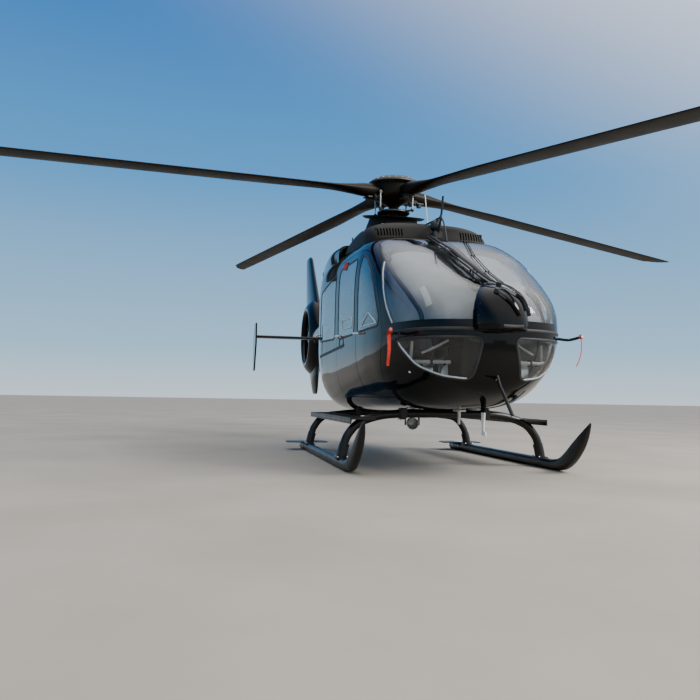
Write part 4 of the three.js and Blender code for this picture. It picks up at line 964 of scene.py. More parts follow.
def turned(name, profile, segments=96):
    """A body turned about z from a profile of radius and waterline, closed on the axis or as a ring."""
    points, faces = [], []
    count = len(profile)
    for k in range(segments):
        a = 2 * math.pi * k / segments
        points += [(r * math.cos(a), r * math.sin(a), z) for r, z in profile]
    for k in range(segments):
        for i in range(count):
            j = (i + 1) % count
            a, b = k * count, ((k + 1) % segments) * count
            faces.append((a + i, a + j, b + j, b + i))
    made = mesh_object(name, points, faces)
    shape = bmesh.new()
    shape.from_mesh(made.data)
    bmesh.ops.remove_doubles(shape, verts=shape.verts, dist=1e-6)
    bmesh.ops.dissolve_degenerate(shape, edges=shape.edges, dist=1e-7)
    bmesh.ops.recalc_face_normals(shape, faces=shape.faces)
    shape.to_mesh(made.data)
    shape.free()
    return made


def lean(body, angle, pivot, station):
    """Leans a body forward about a line across it at a waterline, and moves it to a station."""
    centre = Vector((0, STATION_ZERO, pivot + WATERLINE_ZERO))
    body.data.transform(Matrix.Translation((0, station, 0)) @ Matrix.Translation(centre)
                        @ Matrix.Rotation(angle, 4, "X") @ Matrix.Translation(-centre))
    return body


COLLAR_STATION = (HUB_WATERLINE - COLLAR_TOP) * math.sin(ROTOR_TILT)
collar_hole = lean(cylinder("z", (0, 0), 0.3303, 2.4, 3.0, 96), COLLAR_TILT, COLLAR_TOP, COLLAR_STATION)
carve(cowling, ("DIFFERENCE", collar_hole))
front_cowling = carve(copy_of(cowling, "front_cowling_shell"),
                      ("INTERSECT", block(-FAR, FAR, -FAR, COWLING_SPLIT - 0.002, 0, FAR)))
for hand, sign in HANDS:
    for k in range(9):
        x = sign * (0.3 + 0.029 * k)
        carve(front_cowling, ("DIFFERENCE", block(*sorted((x, x + sign * 0.014)), -1.6, -1.15, 2.29, 2.372)))
smooth_skin(largest_part(front_cowling), COWLING)
fitted(front_cowling, "front_cowling_shell", "front_cowling", material=matt_grey)

rear_cowling = carve(cowling, ("INTERSECT", block(-FAR, FAR, COWLING_SPLIT + 0.002, FAR, 0, FAR)))
for hand, sign in HANDS:
    carve(rear_cowling, ("DIFFERENCE", cylinder("y", (sign * 0.32, 2.515), 0.12, 1.9, 2.5)))
smooth_edges(largest_part(rear_cowling), 35)
fitted(rear_cowling, "engine_cowling_shell", "engine_cowling", material=gloss_paint)

collar = lean(turned("collar", COLLAR_PROFILE), COLLAR_TILT, COLLAR_TOP, COLLAR_STATION)
carve(collar, ("DIFFERENCE", copy_of(body_outside, "body_tool")))
fitted(smooth_edges(collar), "collar", "mast_collar", material=matt_grey)


# The cowlings' fittings. Quarter-turn catches in stainless steel run along both edges, with rivets
# between them, and slats stand behind the front grilles. A forged lifting eye stands on each side.
for name, y, first, last, count, rides_on, radius, high, material in (
        ("front_cowling_catches", -1.02, 20, 160, 9, "airframe", 0.014, 0.004, aluminium),
        ("cowling_joint_catches", COWLING_SPLIT + 0.045, 22, 158, 11, "airframe", 0.014, 0.004, aluminium),
        ("cowling_joint_rivets", COWLING_SPLIT - 0.03, 15, 165, 56, "airframe", 0.004, 0.0015, powder_coat),
        ("rear_cowling_rivets", 1.10, 20, 160, 44, "airframe", 0.004, 0.0015, powder_coat)):
    turns = np.radians(np.linspace(first, last, count))
    ends = np.stack([0.9 * np.cos(turns), np.full(count, y), 2.2 + 0.9 * np.sin(turns)], axis=1)
    low, high_end = np.full(count, 0.05), np.ones(count)
    for _ in range(40):
        share = (low + high_end) / 2
        spots = np.stack([share * ends[:, 0], ends[:, 1], 2.2 + share * (ends[:, 2] - 2.2)], axis=1)
        out = outside(COWLING, *spots.T) > 0
        low, high_end = np.where(out, low, share), np.where(out, share, high_end)
    keep = outside(BODY, *spots.T) > 0.02
    fitted(heads(spots[keep], skin_normals(COWLING, spots[keep]), radius, high, material), name,
           rides_on=rides_on)

slats = node_group("slats_in_a_row", Count=COUNT, Size="NodeSocketVector", Step="NodeSocketVector",
                   Turn="NodeSocketRotation", Material="NodeSocketMaterial")
given = node(slats, "NodeGroupInput").outputs
row = node(slats, "GeometryNodeMeshLine", {"Count": given["Count"], "Offset": given["Step"]})
slat = node(slats, "GeometryNodeMeshCube", {"Size": given["Size"]})
set_in = node(slats, "GeometryNodeInstanceOnPoints", {
    "Points": row.outputs["Mesh"], "Instance": slat.outputs["Mesh"], "Rotation": given["Turn"]})
end_nodes(slats, set_in.outputs["Instances"], given["Material"])

for hand, sign in HANDS:
    grille = mesh_object("grille", [(0, 0, 0)], [])
    run_nodes(grille, slats, Count=19, Size=(0.003, 0.05, 0.10), Step=(sign * 0.0145, 0.0, 0.0),
              Turn=(0.0, 0.0, sign * 0.5), Material=powder_coat)
    grille.data.transform(Matrix.Translation((sign * 0.292, -1.325 + STATION_ZERO, 2.331 + WATERLINE_ZERO)))
    fitted(grille, f"grille_slats_{hand}")
    eye = [(sign * 0.575, y, z) for y, z in circle(24, 0.026, (-0.360, 2.470))]
    ring = along_path(eye, 0.009, 0.009, black_oxide, True)
    stem = [(sign * 0.575, -0.360, z) for z in (2.380, 2.41, 2.446)]
    stem = along_path(stem, 0.010, 0.010, black_oxide)
    fitted(joined(ring, stem), f"lifting_eye_{hand}")

# The main rotor. Four one-piece blades of glass fibre are bolted to the mast's head. Each root is a
# flexible beam inside a thick cuff, and the paint is a worn dark brown-grey.
blade_paint = coated("blade_polyurethane_worn", [(0.3, "#0e0a05"), (0.75, "#171007")], (0.35, 0.55),
                     (4.0, 7.0), Specular_IOR_Level=0.15)
ROTOR_RADIUS = 5.100
FIRST_BLADE = math.radians(18.8)
HEAD_RADIUS = 0.250
BLADE_ROWS = [
    # distance out, x (the leading edge is at -x), half chord, half thickness
    (0.236, 0.000, 0.078, 0.066),
    (0.320, 0.000, 0.086, 0.076),
    (0.430, 0.000, 0.094, 0.076),
    (0.620, 0.000, 0.106, 0.053),
    (0.880, 0.000, 0.116, 0.028),
    (1.250, 0.005, 0.132, 0.021),
    (1.700, 0.014, 0.145, 0.019),
    (3.000, 0.014, 0.145, 0.018),
    (4.650, 0.014, 0.145, 0.015),
    (4.850, 0.030, 0.128, 0.012),
    (5.020, 0.070, 0.088, 0.009),
    (ROTOR_RADIUS, 0.120, 0.030, 0.005),
]
DROOP_START = 0.100
DROOP_SLOPE = 0.065
drop = [DROOP_START + DROOP_SLOPE * (r - 0.4) for r, *_ in BLADE_ROWS]
BLADE = [(r, x, half, -d - thick, -d + thick, -d, 2.0, 2.0) for (r, x, half, thick),
         d in zip(BLADE_ROWS, drop)]
to_hub = Matrix.Translation(Vector(mast)) @ Matrix.Rotation(ROTOR_TILT, 4, "X")
from_stations = Matrix.Translation((0, -STATION_ZERO, -WATERLINE_ZERO))


def on_hub(body, k=0):
    """Moves a body made about the hub's middle to its place at the k-th blade."""
    turned_to = Matrix.Rotation(FIRST_BLADE + k * math.pi / 2 - math.pi / 2, 4, "Z")
    body.data.transform(to_hub @ turned_to @ from_stations)
    return body


for k in range(4):
    blade = smooth_skin(loft("blade", BLADE, 160, 40), BLADE)
    carve(blade, ("DIFFERENCE", cylinder("z", (0, 0), HEAD_RADIUS + 0.002, -0.4, 0.001, 96)))
    fitted(smooth_edges(on_hub(blade, k)), f"blade_{k + 1}", f"rotor_blade_{k + 1}", material=blade_paint,
           rides_on="main_rotor")
    # The lead-lag damper, a rubber stack on a steel plate under the cuff
    damper = cylinder("z", (0.052, 0.335), 0.030, -0.222, -0.172, 24)
    plate = softened(block(-0.035, 0.085, 0.285, 0.385, -0.182, -0.168), 0.003)
    damper = joined(clad(softened(damper, 0.004), rubber), clad(plate, powder_coat))
    fitted(on_hub(damper, k), f"lag_damper_{k + 1}", rides_on="main_rotor")

# The head and its cap. The titanium head is painted, and four bolted forks reach under the cuffs. The
# cap is a spun aluminium dome on a flat rim, held by a ring of screws.
MAST_FOOT = -1.30
HEAD = [(0.0, 0.0), (HEAD_RADIUS, 0.0), (HEAD_RADIUS, -0.120), (0.225, -0.165), (0.150, -0.200),
        (0.085, -0.232), (0.058, -0.262), (0.055, -0.300), (0.055, MAST_FOOT + 0.62), (0.0, MAST_FOOT + 0.62)]
FORK = [(-0.075, -0.190), (0.075, -0.190), (0.060, -0.135), (-0.060, -0.135)]
parts = [clad(on_hub(smooth_edges(turned("head", HEAD), 40)), blade_paint)]
for k in range(4):
    fork = clad(softened(prism("y", FORK, 0.12, 0.31), 0.006), blade_paint)
    bolt_places = [(x, y, -0.190) for x in (-0.04, 0.04) for y in (0.20, 0.27)]
    parts += [on_hub(fork, k), on_hub(heads(bolt_places, (0, 0, -1), 0.014, 0.012, black_oxide, 6), k)]
fitted(joined(*parts), "rotor_head", "rotor_mast", rides_on="main_rotor")

CAP = [(0.0, 0.0005), (0.255, 0.0005), (0.300, 0.004), (0.312, 0.012), (0.312, 0.022), (0.300, 0.036),
       (0.284, 0.050), (0.255, 0.068), (0.222, 0.082), (0.175, 0.095), (0.125, 0.104), (0.065, 0.111),
       (0.0, 0.113)]
cap_grey = coated("cap_grey_paint", [(0.3, "#1f1e1b"), (0.7, "#2c2b27")], 0.5, (9.0, 6.0))
cap = clad(on_hub(smooth_edges(turned("cap", CAP), 50)), cap_grey)
ring = [(x, y, 0.0445) for x, y in circle(24, 0.291)]
slopes = [Vector((0.75 * x, 0.75 * y, 0.2)).normalized() for x, y, z in ring]
screws = on_hub(heads(ring, np.array(slopes), 0.007, 0.004, aluminium))
fitted(joined(cap, screws), "hub_cap_dome", "hub_cap", rides_on="main_rotor")

# The swashplate and its links. A machined aluminium ring turns with the mast, and a forged link with
# two rod ends runs from it to each cuff's horn.
SWASH = [(0.0755, -0.338), (0.185, -0.338), (0.195, -0.330), (0.195, -0.316), (0.185, -0.308),
         (0.120, -0.308), (0.110, -0.296), (0.0755, -0.296)]
HORN = [(-0.085, 0.150), (-0.085, 0.205), (-0.112, 0.255), (-0.084, 0.262), (-0.045, 0.180)]
dark_alloy = coated("anodised_aluminium_dark", "#57544f", (0.3, 0.5), (40.0, 4.0), Metallic=1.0)
parts = [clad(on_hub(smooth_edges(turned("swash", SWASH))), dark_alloy)]
for k in range(4):
    arm = clad(softened(prism("z", HORN, -0.330, -0.312), 0.003), dark_alloy)
    rod = along_path([(-0.098, 0.250, -0.330), (-0.098, 0.252, -0.22), (-0.098, 0.256, -0.118)], 0.018, 0.018,
                     aluminium)
    ends = [clad(softened(cylinder("x", centre, 0.020, -0.112, end, 24), 0.003), black_oxide)
            for centre, end in (((0.250, -0.318), -0.084), ((0.256, -0.118), -0.060))]
    parts += [on_hub(part, k) for part in (arm, rod, *ends)]
fitted(joined(*parts), "swashplate_links", "swashplate", rides_on="main_rotor")

# Landing gear. Two bent tubes cross under the belly and stand on two skid tubes. All are steel and
# aluminium tubes in black epoxy, scuffed and dusty.
matt_black = coated("black_epoxy_primer", [(0.35, "#0b0a09"), (0.75, "#191714")], (0.22, 0.5), (7.0, 8.0),
                    Specular_IOR_Level=0.35)

GROUND = 0.075
SKID_X = 0.960
SKID_TOP = GROUND + 0.092
SKID = [
    # station, middle x, half width, bottom, top, widest, roundness below, roundness above
    (-2.705, 0, 0.010, 0.488, 0.520, 0.504, 2.5, 2.5),
    (-2.650, 0, 0.026, 0.385, 0.478, 0.430, 3.0, 3.0),
    (-2.574, 0, 0.034, 0.278, 0.428, 0.350, 3.0, 3.0),
    (-2.462, 0, 0.040, 0.178, 0.350, 0.262, 3.0, 3.0),
    (-2.340, 0, 0.044, 0.108, 0.262, 0.180, 2.6, 2.6),
    (-2.230, 0, 0.046, 0.082, 0.198, 0.135, 2.4, 2.4),
    (-2.110, 0, 0.046, 0.073, 0.172, 0.122, 2.4, 2.4),
    (-1.950, 0, 0.046, 0.071, SKID_TOP, 0.122, 2.4, 2.4),
    (0.300, 0, 0.046, 0.071, SKID_TOP, 0.122, 2.4, 2.4),
    (0.450, 0, 0.045, 0.073, SKID_TOP, 0.122, 2.4, 2.4),
    (0.480, 0, 0.030, 0.100, 0.144, 0.122, 2.0, 2.0),
]
TUBES = [("front", -1.835, 0.0), ("rear", 0.026, 0.032)]
TUBE_BEND = [(SKID_X - 0.003, 0.160), (SKID_X - 0.012, 0.215), (0.912, 0.350), (0.800, 0.472), (0.600, 0.540),
             (0.350, 0.560), (0.0, 0.562)]


def bent_tube(y, drop, size, material):
    """A cross tube from skid to skid at a station, its middle let down by drop."""
    half = [(x, y, z if x > 0.6 else z - drop) for x, z in TUBE_BEND]
    whole = half + [(-x, y, z) for x, y, z in half[-2::-1]]
    return along_path(curved(whole, 130), size, size, material, sides=32, outwards=[(0, 1, 0)] * 130)


def made_of(material, *bodies):
    """Gives bodies one material, and joins them."""
    return joined(*[clad(body, material) for body in bodies])


for name, y, drop in TUBES:
    parts = [bent_tube(y, drop, 0.076, matt_black)]
    for hand, sign in HANDS:
        x, top = sign * 0.40, 0.555 - drop
        parts.append(made_of(matt_black, softened(block(x - 0.036, x + 0.036, y - 0.052, y + 0.052,
                                                        top - 0.046, 0.612 - 0.5 * drop), 0.012, 3)))
        parts.append(heads([(x + dx, y + dy, top - 0.046)
                            for dx in (-0.024, 0.024) for dy in (-0.040, 0.040)],
                           (0, 0, -1), 0.010, 0.010, aluminium, 6))
        sleeve = [(sign * x1, y, z1) for x1, z1 in ((0.958, 0.166), (0.952, 0.200), (0.943, 0.245),
                (0.930, 0.290))]
        parts.append(along_path(curved(sleeve, 12), 0.092, 0.092, matt_black, sides=32,
                                outwards=[(0, 1, 0)] * 12))
    fitted(joined(*parts), f"{name}_cross_tube_bent", f"{name}_cross_tube")

STEP = [(0.700, 0.522), (0.925, 0.522), (0.925, 0.468), (0.917, 0.468), (0.912, 0.506), (0.700, 0.506)]
STEP_FRONT, STEP_REAR = -2.040, 0.200
for hand, sign in HANDS:
    x = sign * SKID_X
    skid = loft("skid", [(y, sign * SKID_X, *rest) for y, _, *rest in SKID], 150, 36)
    carve(skid, ("INTERSECT", block(-FAR, FAR, -FAR, FAR, GROUND, FAR)))
    parts = [smooth_edges(skid, 35)]
    for _, y, _ in TUBES:
        parts.append(softened(block(x - 0.052, x + 0.052, y - 0.075, y + 0.075, SKID_TOP - 0.030,
                                    SKID_TOP + 0.006),
                              0.010, 3))
    paw = [(x - 0.25, 0.160), (x + 0.25, 0.160), (x + 0.23, 0.440), (x - 0.23, 0.440)]
    parts.append(softened(prism("z", paw, SKID_TOP - 0.002, SKID_TOP + 0.008, 0.06), 0.002))
    made_of(matt_black, *parts)
    bolts = [(x + dx, y + dy, SKID_TOP + 0.006)
             for _, y, _ in TUBES for dx in (-0.043, 0.043) for dy in (-0.06, 0.06)]
    bolts += [(x + dx, y, SKID_TOP + 0.008) for dx in (-0.025, 0.025) for y in (0.22, 0.30, 0.38)]
    over = [(math.cos(a), math.sin(a)) for a in np.linspace(0, math.pi, 15)]
    straps = [along_path([(x + 0.052 * c, y, 0.121 + 0.052 * s) for c, s in over], 0.03, 0.006, aluminium,
                         outwards=[(c, 0, s) for c, s in over]) for y in (0.20, 0.40)]
    skid = joined(parts[0], heads(bolts, (0, 0, 1), 0.009, 0.008, aluminium, 6), *straps)
    fitted(skid, f"skid_tube_{hand}", f"skid_{hand}")

    # The step is an extruded aluminium angle in black epoxy, with rubber grip ribs on top
    board = prism("y", [(sign * a, b) for a, b in STEP], STEP_FRONT, STEP_REAR)
    for _, y, drop in TUBES:
        carve(board, ("DIFFERENCE", bent_tube(y, drop, 0.078, matt_black)))
    made_of(matt_black, softened(board, 0.002, 1))
    ribs = mesh_object("ribs", [(0, 0, 0)], [])
    run_nodes(ribs, slats, Count=42, Size=(0.150, 0.006, 0.004), Step=(0.0, 0.050, 0.0), Turn=(0.0, 0.0, 0.0),
              Material=rubber)
    ribs.data.transform(Matrix.Translation(ZERO + [sign * 0.815, STEP_FRONT + 0.08, 0.523]))
    lip = [(sign * 0.925, y, 0.495) for y in np.arange(STEP_FRONT + 0.05, STEP_REAR, 0.12)]
    rivets = heads(lip, (sign, 0, 0), 0.006, 0.003, aluminium)
    fitted(joined(board, ribs, rivets), f"step_board_{hand}", f"step_{hand}")

# The tail boom, a carbon tube that carries the fin. It is one gloss black moulding, riveted to the
# cabin's cone in front and to the fin behind.
BOOM = [
    # station, middle x, half width, bottom, top, widest, roundness below, roundness above
    (2.2503, 0, 0.305, 1.725, 2.275, 2.000, 2.0, 2.0),
    (2.900, 0, 0.262, 1.712, 2.215, 1.965, 2.0, 2.0),
    (3.700, 0, 0.218, 1.692, 2.142, 1.917, 2.0, 2.0),
    (4.500, 0, 0.182, 1.682, 2.085, 1.884, 2.0, 2.0),
    (5.080, 0, 0.162, 1.680, 2.055, 1.868, 2.0, 2.0),
]
boom = smooth_skin(loft("boom", BOOM, 60, 72), BOOM)
fitted(boom, "boom_tube", "tail_boom", material=gloss_paint)
turns = np.radians(np.arange(0, 360, 7.5))
for name, table, y in (("boom_front_rivets", BOOM, 2.29), ("boom_rear_rivets", BOOM, 5.045),
                       ("cone_rivets", BODY, 2.20)):
    stations, _, *columns = zip(*table)
    half, bottom, top, widest = [np.interp(y, stations, column) for column in columns[:4]]
    ring = [(half * math.cos(a), y,
             widest + (top - widest if math.sin(a) > 0 else widest - bottom) * math.sin(a))
            for a in turns]
    ring = np.array(ring)
    ring -= (outside(table, *ring.T) * 0.9 * np.array([ring[:, 0], 0 * turns, ring[:, 2] - widest])).T
    fitted(heads(ring, skin_normals(table, ring), 0.004, 0.0015, gloss_paint), name)

# The stabiliser, a carbon plank through the boom with a swept plate on each end. It is laid up in
# one piece and sprayed gloss black.
def wing_outline(front, chord, middle, thick, count=14):
    """A smooth wing section from its front edge, as stations and waterlines."""
    share = 0.5 * (1 - np.cos(np.linspace(0, math.pi, count)))
    half = thick / 0.2 * (0.2969 * np.sqrt(share) - 0.126 * share - 0.3516 * share**2 + 0.2843 * share**3
                          - 0.1030 * share**4)
    upper = [(front + chord * s, middle + h) for s, h in zip(share, half)]
    lower = [(front + chord * s, middle - h) for s, h in zip(share, half)]
    return upper + lower[-1:0:-1]


END_PLATE = [(3.990, 1.960), (4.290, 1.960), (4.520, 1.640), (4.440, 1.130), (4.250, 1.130), (3.960, 1.620)]
plank = smooth_edges(prism("x", wing_outline(4.010, 0.410, 1.722, 0.054), -1.310, 1.310), 35)
plates = [softened(prism("x", END_PLATE, sign * 1.310 - 0.014, sign * 1.310 + 0.014, 0.05), 0.010, 4)
          for _, sign in HANDS]
fitted(made_of(gloss_paint, plank, *plates), "stabiliser_plank", "stabiliser")

# The fin with the fan's shroud. It is one carbon moulding, sprayed gloss black. The fan's duct goes
# through it, and the shroud's rounded lips stand out on both sides.
UPPER_FIN = [
    # height, leading edge, trailing edge, half thickness
    (1.900, 5.060, 6.640, 0.120),
    (2.350, 5.330, 6.760, 0.108),
    (2.900, 5.800, 6.880, 0.088),
    (3.400, 6.250, 7.000, 0.066),
    (3.620, 6.450, 7.050, 0.052),
    (3.680, 6.620, 7.060, 0.022),
]
LOWER_FIN = [(0.757, 5.520, 5.860, 0.022), (0.820, 5.450, 5.960, 0.040), (1.100, 5.420, 6.200, 0.070),
             (1.400, 5.420, 6.400, 0.100)]
FAN_STATION, FAN_LEVEL, DUCT_RADIUS = 5.900, 1.900, 0.503
to_stations = from_stations.inverted()
STAND_UP = Matrix(((0, 0, 1, 0), (1, 0, 0, 0), (0, 1, 0, 0), (0, 0, 0, 1)))


def upright(rows):
    """A fin from rows of its height, edges and half thickness."""
    table = [(z, (lead + trail) / 2, (trail - lead) / 2, -half, half, 0.0, 2.0, 2.0) for z, lead, trail,
             half in rows]
    body = loft("fin", table, 60, 60)
    body.data.transform(to_stations @ STAND_UP @ from_stations)
    return body


def at_fan(body):
    """Moves a body made about the upright axis to the fan's axis."""
    turned_over = Matrix.Rotation(math.pi / 2, 4, "Y")
    place = Matrix.Translation((0, FAN_STATION, FAN_LEVEL))
    body.data.transform(to_stations @ place @ turned_over @ from_stations)
    return body


SHROUD = [(DUCT_RADIUS, -0.120), (DUCT_RADIUS, 0.120), (0.508, 0.150), (0.515, 0.172), (0.529, 0.188),
          (0.548, 0.197), (0.575, 0.198), (0.603, 0.190), (0.650, 0.163), (0.690, 0.130), (0.722, 0.098),
          (0.745, 0.066), (0.758, 0.033), (0.762, 0.0)]
SHROUD += [(r, -z) for r, z in SHROUD[-2:1:-1]]
FIN_COLLAR = [(5.0803, 0, 0.162, 1.680, 2.055, 1.868, 2.0, 2.0),
              (5.300, 0, 0.158, 1.640, 2.080, 1.868, 2.2, 2.2)]
fin = carve(upright(UPPER_FIN), ("UNION", upright(LOWER_FIN)), ("UNION", loft("collar", FIN_COLLAR, 8, 48)),
            ("DIFFERENCE", cylinder("x", (FAN_STATION, FAN_LEVEL), DUCT_RADIUS, -0.5, 0.5, 120)),
            ("UNION", at_fan(turned("shroud", SHROUD, 120))))
fitted(smooth_edges(largest_part(fin), 28), "fin_moulding", "tail_fin", material=gloss_paint)

# The fan and its stator. Forged aluminium blades turn on a dished hub, and as many fixed vanes carry
# the drive's housing behind them. All are painted matt black.
vanes = node_group("vanes_round_hub", Count=COUNT, Start=LENGTH, Material="NodeSocketMaterial")
given = node(vanes, "NodeGroupInput").outputs
spots = node(vanes, "GeometryNodePoints", {"Count": given["Count"]})
number = node(vanes, "GeometryNodeInputIndex")
step = node(vanes, "ShaderNodeMath", {0: 2 * math.pi, 1: given["Count"]}, operation="DIVIDE")
angle = node(vanes, "ShaderNodeMath", {0: number.outputs[0], 1: step.outputs[0], 2: given["Start"]},
             operation="MULTIPLY_ADD")
spin = node(vanes, "ShaderNodeCombineXYZ", {"Z": angle.outputs[0]})
set_round = node(vanes, "GeometryNodeInstanceOnPoints", {
    "Points": spots.outputs[0], "Instance": given["Geometry"], "Rotation": spin.outputs[0]})
end_nodes(vanes, set_round.outputs["Instances"], given["Material"])


def vane_ring(inner, outer, half, thick, pitch, level, start, material):
    """Ten vanes round the fan's axis, each turned by pitch about its own length."""
    table = [(inner, 0, half, -thick, thick, 0, 2.0, 2.0), (outer, 0, half * 0.92, -thick * 0.6, thick * 0.6,
            0, 2.0, 2.0)]
    vane = smooth_edges(loft("vane", table, 12, 20), 40)
    vane.data.transform(Matrix.Translation((0, 0, level)) @ Matrix.Rotation(pitch, 4, "Y") @ from_stations)
    run_nodes(vane, vanes, Count=10, Start=start, Material=material)
    vane.data.transform(to_stations)
    return at_fan(vane)


FAN_X = -0.070
HUB = [(0.0, -0.048), (0.060, -0.050), (0.120, -0.050), (0.150, -0.040), (0.160, -0.022), (0.160, 0.022),
       (0.150, 0.040), (0.120, 0.050), (0.0, 0.050)]
hub_body = clad(smooth_edges(turned("hub", [(r, z + FAN_X) for r, z in HUB]), 40), matt_black)
bolts = [(x, y, FAN_X - 0.050) for x, y in circle(10, 0.085)]
bolts = heads(bolts, (0, 0, -1), 0.009, 0.008, aluminium, 6)
fan = joined(vane_ring(0.150, 0.492, 0.043, 0.009, math.radians(60), FAN_X, 0.0, matt_black),
             at_fan(hub_body),
             at_fan(bolts))
fitted(fan, "fan_blades", "tail_fan", rides_on="fan")
HOUSING = [(0.0, FAN_X + 0.051), (0.045, FAN_X + 0.051), (0.045, FAN_X + 0.062), (0.140, FAN_X + 0.062),
           (0.150, FAN_X + 0.075), (0.150, 0.120), (0.140, 0.152), (0.110, 0.168), (0.0, 0.175)]
housing = clad(at_fan(smooth_edges(turned("housing", HOUSING), 40)), matt_black)
stator = joined(vane_ring(0.140, 0.5025, 0.038, 0.008, math.radians(75), 0.105, math.radians(18), matt_black),
                housing)
fitted(stator, "stator_vanes", "fan_stator")

# The exhausts, two short pipes of nickel alloy sheet. They are rolled and welded, and the engines'
# heat has turned them straw, brown and blue.
burnt_metal = coated("nickel_alloy_burnt", [(0.3, "#4a3f38"), (0.75, "#7a6a58"), (0.5, "#5a4a46")], 0.38,
                     (6.0, 5.0), Metallic=1.0)
PIPE_END = 2.322
for hand, sign in HANDS:
    path = curved([(sign * 0.25, 1.40, 2.48), (sign * 0.25, 1.70, 2.48), (sign * 0.30, 2.05, 2.505),
                   (sign * 0.372, 2.39, 2.536)], 40)
    pipe = carve(along_path(path, 0.200, 0.200, burnt_metal, sides=48),
                 ("DIFFERENCE", along_path(path, 0.188, 0.188, burnt_metal, sides=48)),
                 ("INTERSECT", block(-FAR, FAR, 1.42, PIPE_END, 0, FAR)))
    middle = [np.interp(PIPE_END, path[:, 1], path[:, k]) for k in (0, 2)]
    lip = [(x, PIPE_END, z) for x, z in circle(60, 0.098, middle)]
    lip = along_path(lip, 0.008, 0.008, burnt_metal, True)
    fitted(joined(smooth_edges(pipe), lip), f"exhaust_pipe_{hand}", f"exhaust_{hand}")

# Wire cutters. The upper one is a welded frame of thin steel rods over a forged jaw, the lower one a
# flat blade bolted under the nose. Both are in black powder coat.
CUTTER = [((-1.758, 2.624), (-1.735, 2.530), (-1.706, 2.434)),
          ((-1.706, 2.434), (-1.430, 2.455), (-1.150, 2.481)),
          ((-1.706, 2.434), (-1.790, 2.350), (-1.876, 2.160)),
          ((-1.706, 2.434), (-1.640, 2.330), (-1.590, 2.245))]
rods = [along_path(curved([(0, y, z) for y, z in rod], 12), 0.016, 0.022, powder_coat) for rod in CUTTER]
EGG = [(0.0, 0.0), (0.030, 0.006), (0.052, 0.030), (0.060, 0.062), (0.050, 0.098), (0.028, 0.122),
       (0.0, 0.130)]
egg = smooth_edges(turned("egg", [(r, z + 2.318) for r, z in EGG], 40), 60)
egg.data.transform(Matrix.Translation((0, -1.561, 0)))
foot = softened(block(-0.045, 0.045, -1.630, -1.490, 2.235, 2.322), 0.012, 3)
jaw = softened(prism("x", [(-1.730, 2.400), (-1.680, 2.395), (-1.660, 2.440), (-1.715, 2.470)], -0.007,
                     0.007), 0.002)
fitted(joined(*rods, made_of(powder_coat, egg, foot, jaw)), "upper_cutter_rods", "cable_cutter_upper")

LOWER_CUTTER = [(-3.020, 0.885), (-2.975, 0.862), (-3.100, 0.745), (-3.262, 0.578), (-3.296, 0.590),
                (-3.185, 0.705), (-3.080, 0.802)]
blade_low = softened(prism("x", LOWER_CUTTER, -0.007, 0.007), 0.002)
pins = heads([(-0.007, -3.010, 0.850), (-0.007, -2.985, 0.840)], (-1, 0, 0), 0.006, 0.004, aluminium, 6)
fitted(joined(made_of(powder_coat, blade_low), pins), "lower_cutter_blade", "cable_cutter_lower")

# Aerials, a whip on the roof and blades under the nose and belly. They are moulded glass fibre in
# white polyurethane, on small feet. The nose aerial's stalk is gloss black.
aerial_white = coated("white_polyurethane", [(0.3, "#cfccc2"), (0.7, "#e4e2da")], 0.35, (12.0, 5.0))
whip = along_path([(0, -1.320, 2.415), (0, -1.300, 2.475), (0, -1.206, 2.792)], 0.010, 0.010, aerial_white)
whip_foot = softened(block(-0.030, 0.030, -1.350, -1.285, 2.405, 2.436), 0.006)
fitted(joined(whip, made_of(aerial_white, whip_foot)), "whip_aerial")
NOSE_AERIAL = [(-2.779, 0.595), (-2.714, 0.595), (-2.725, 0.505), (-2.725, 0.412), (-2.800, 0.412),
               (-2.800, 0.440), (-2.760, 0.455)]
stalk = softened(prism("x", [(-2.800, 0.760), (-2.700, 0.760), (-2.713, 0.597), (-2.780, 0.597)], -0.007,
                       0.007), 0.003)
fitted(stalk, "nose_aerial_stalk", material=gloss_paint)
aerials = [softened(prism("x", NOSE_AERIAL, -0.007, 0.007), 0.003),
           softened(prism("x", [(-2.250, 0.680), (-2.190, 0.680), (-2.195, 0.480), (-2.230, 0.480)], -0.006,
                          0.006), 0.003),
           softened(block(-0.035, 0.035, -2.295, -2.150, 0.590, 0.606), 0.004)]
fitted(made_of(aerial_white, *aerials), "belly_aerials")

# The landing lamp. A spun aluminium bowl with a glass lens hangs in a cast fork under the belly and
# turns on a round plate.
LAMP_STATION = -0.840
glass_lens = coated("borosilicate_lens", "#eef2f2", 0.05, IOR=1.47, Transmission_Weight=1.0)
LAMP_BASE = [(0.0, 0.515), (0.050, 0.515), (0.080, 0.540), (0.080, 0.600), (0.0, 0.600)]
base = smooth_edges(turned("base", LAMP_BASE, 48), 40)
base.data.transform(Matrix.Translation((0, LAMP_STATION, 0)))
forks = [softened(block(*sorted((sign * 0.068, sign * 0.079)), LAMP_STATION - 0.020, LAMP_STATION + 0.020,
                        0.415, 0.535),
                  0.003) for _, sign in HANDS]
BOWL = [(0.0, -0.055), (0.030, -0.050), (0.050, -0.034), (0.060, -0.008), (0.064, 0.018), (0.064, 0.036),
        (0.057, 0.036), (0.055, 0.020), (0.048, -0.010), (0.028, -0.036), (0.0, -0.042)]
bowl = smooth_edges(turned("bowl", BOWL, 48), 40)
lens = smooth_edges(turned("lens", [(0.0, 0.024), (0.056, 0.024), (0.056, 0.030), (0.030, 0.037),
                                    (0.0, 0.040)], 48), 40)
for body, material in ((bowl, aluminium), (lens, glass_lens)):
    clad(body, material)
    facing_nose = Matrix.Translation((0, LAMP_STATION, 0.440)) @ Matrix.Rotation(math.radians(105), 4, "X")
    body.data.transform(to_stations @ facing_nose @ from_stations)
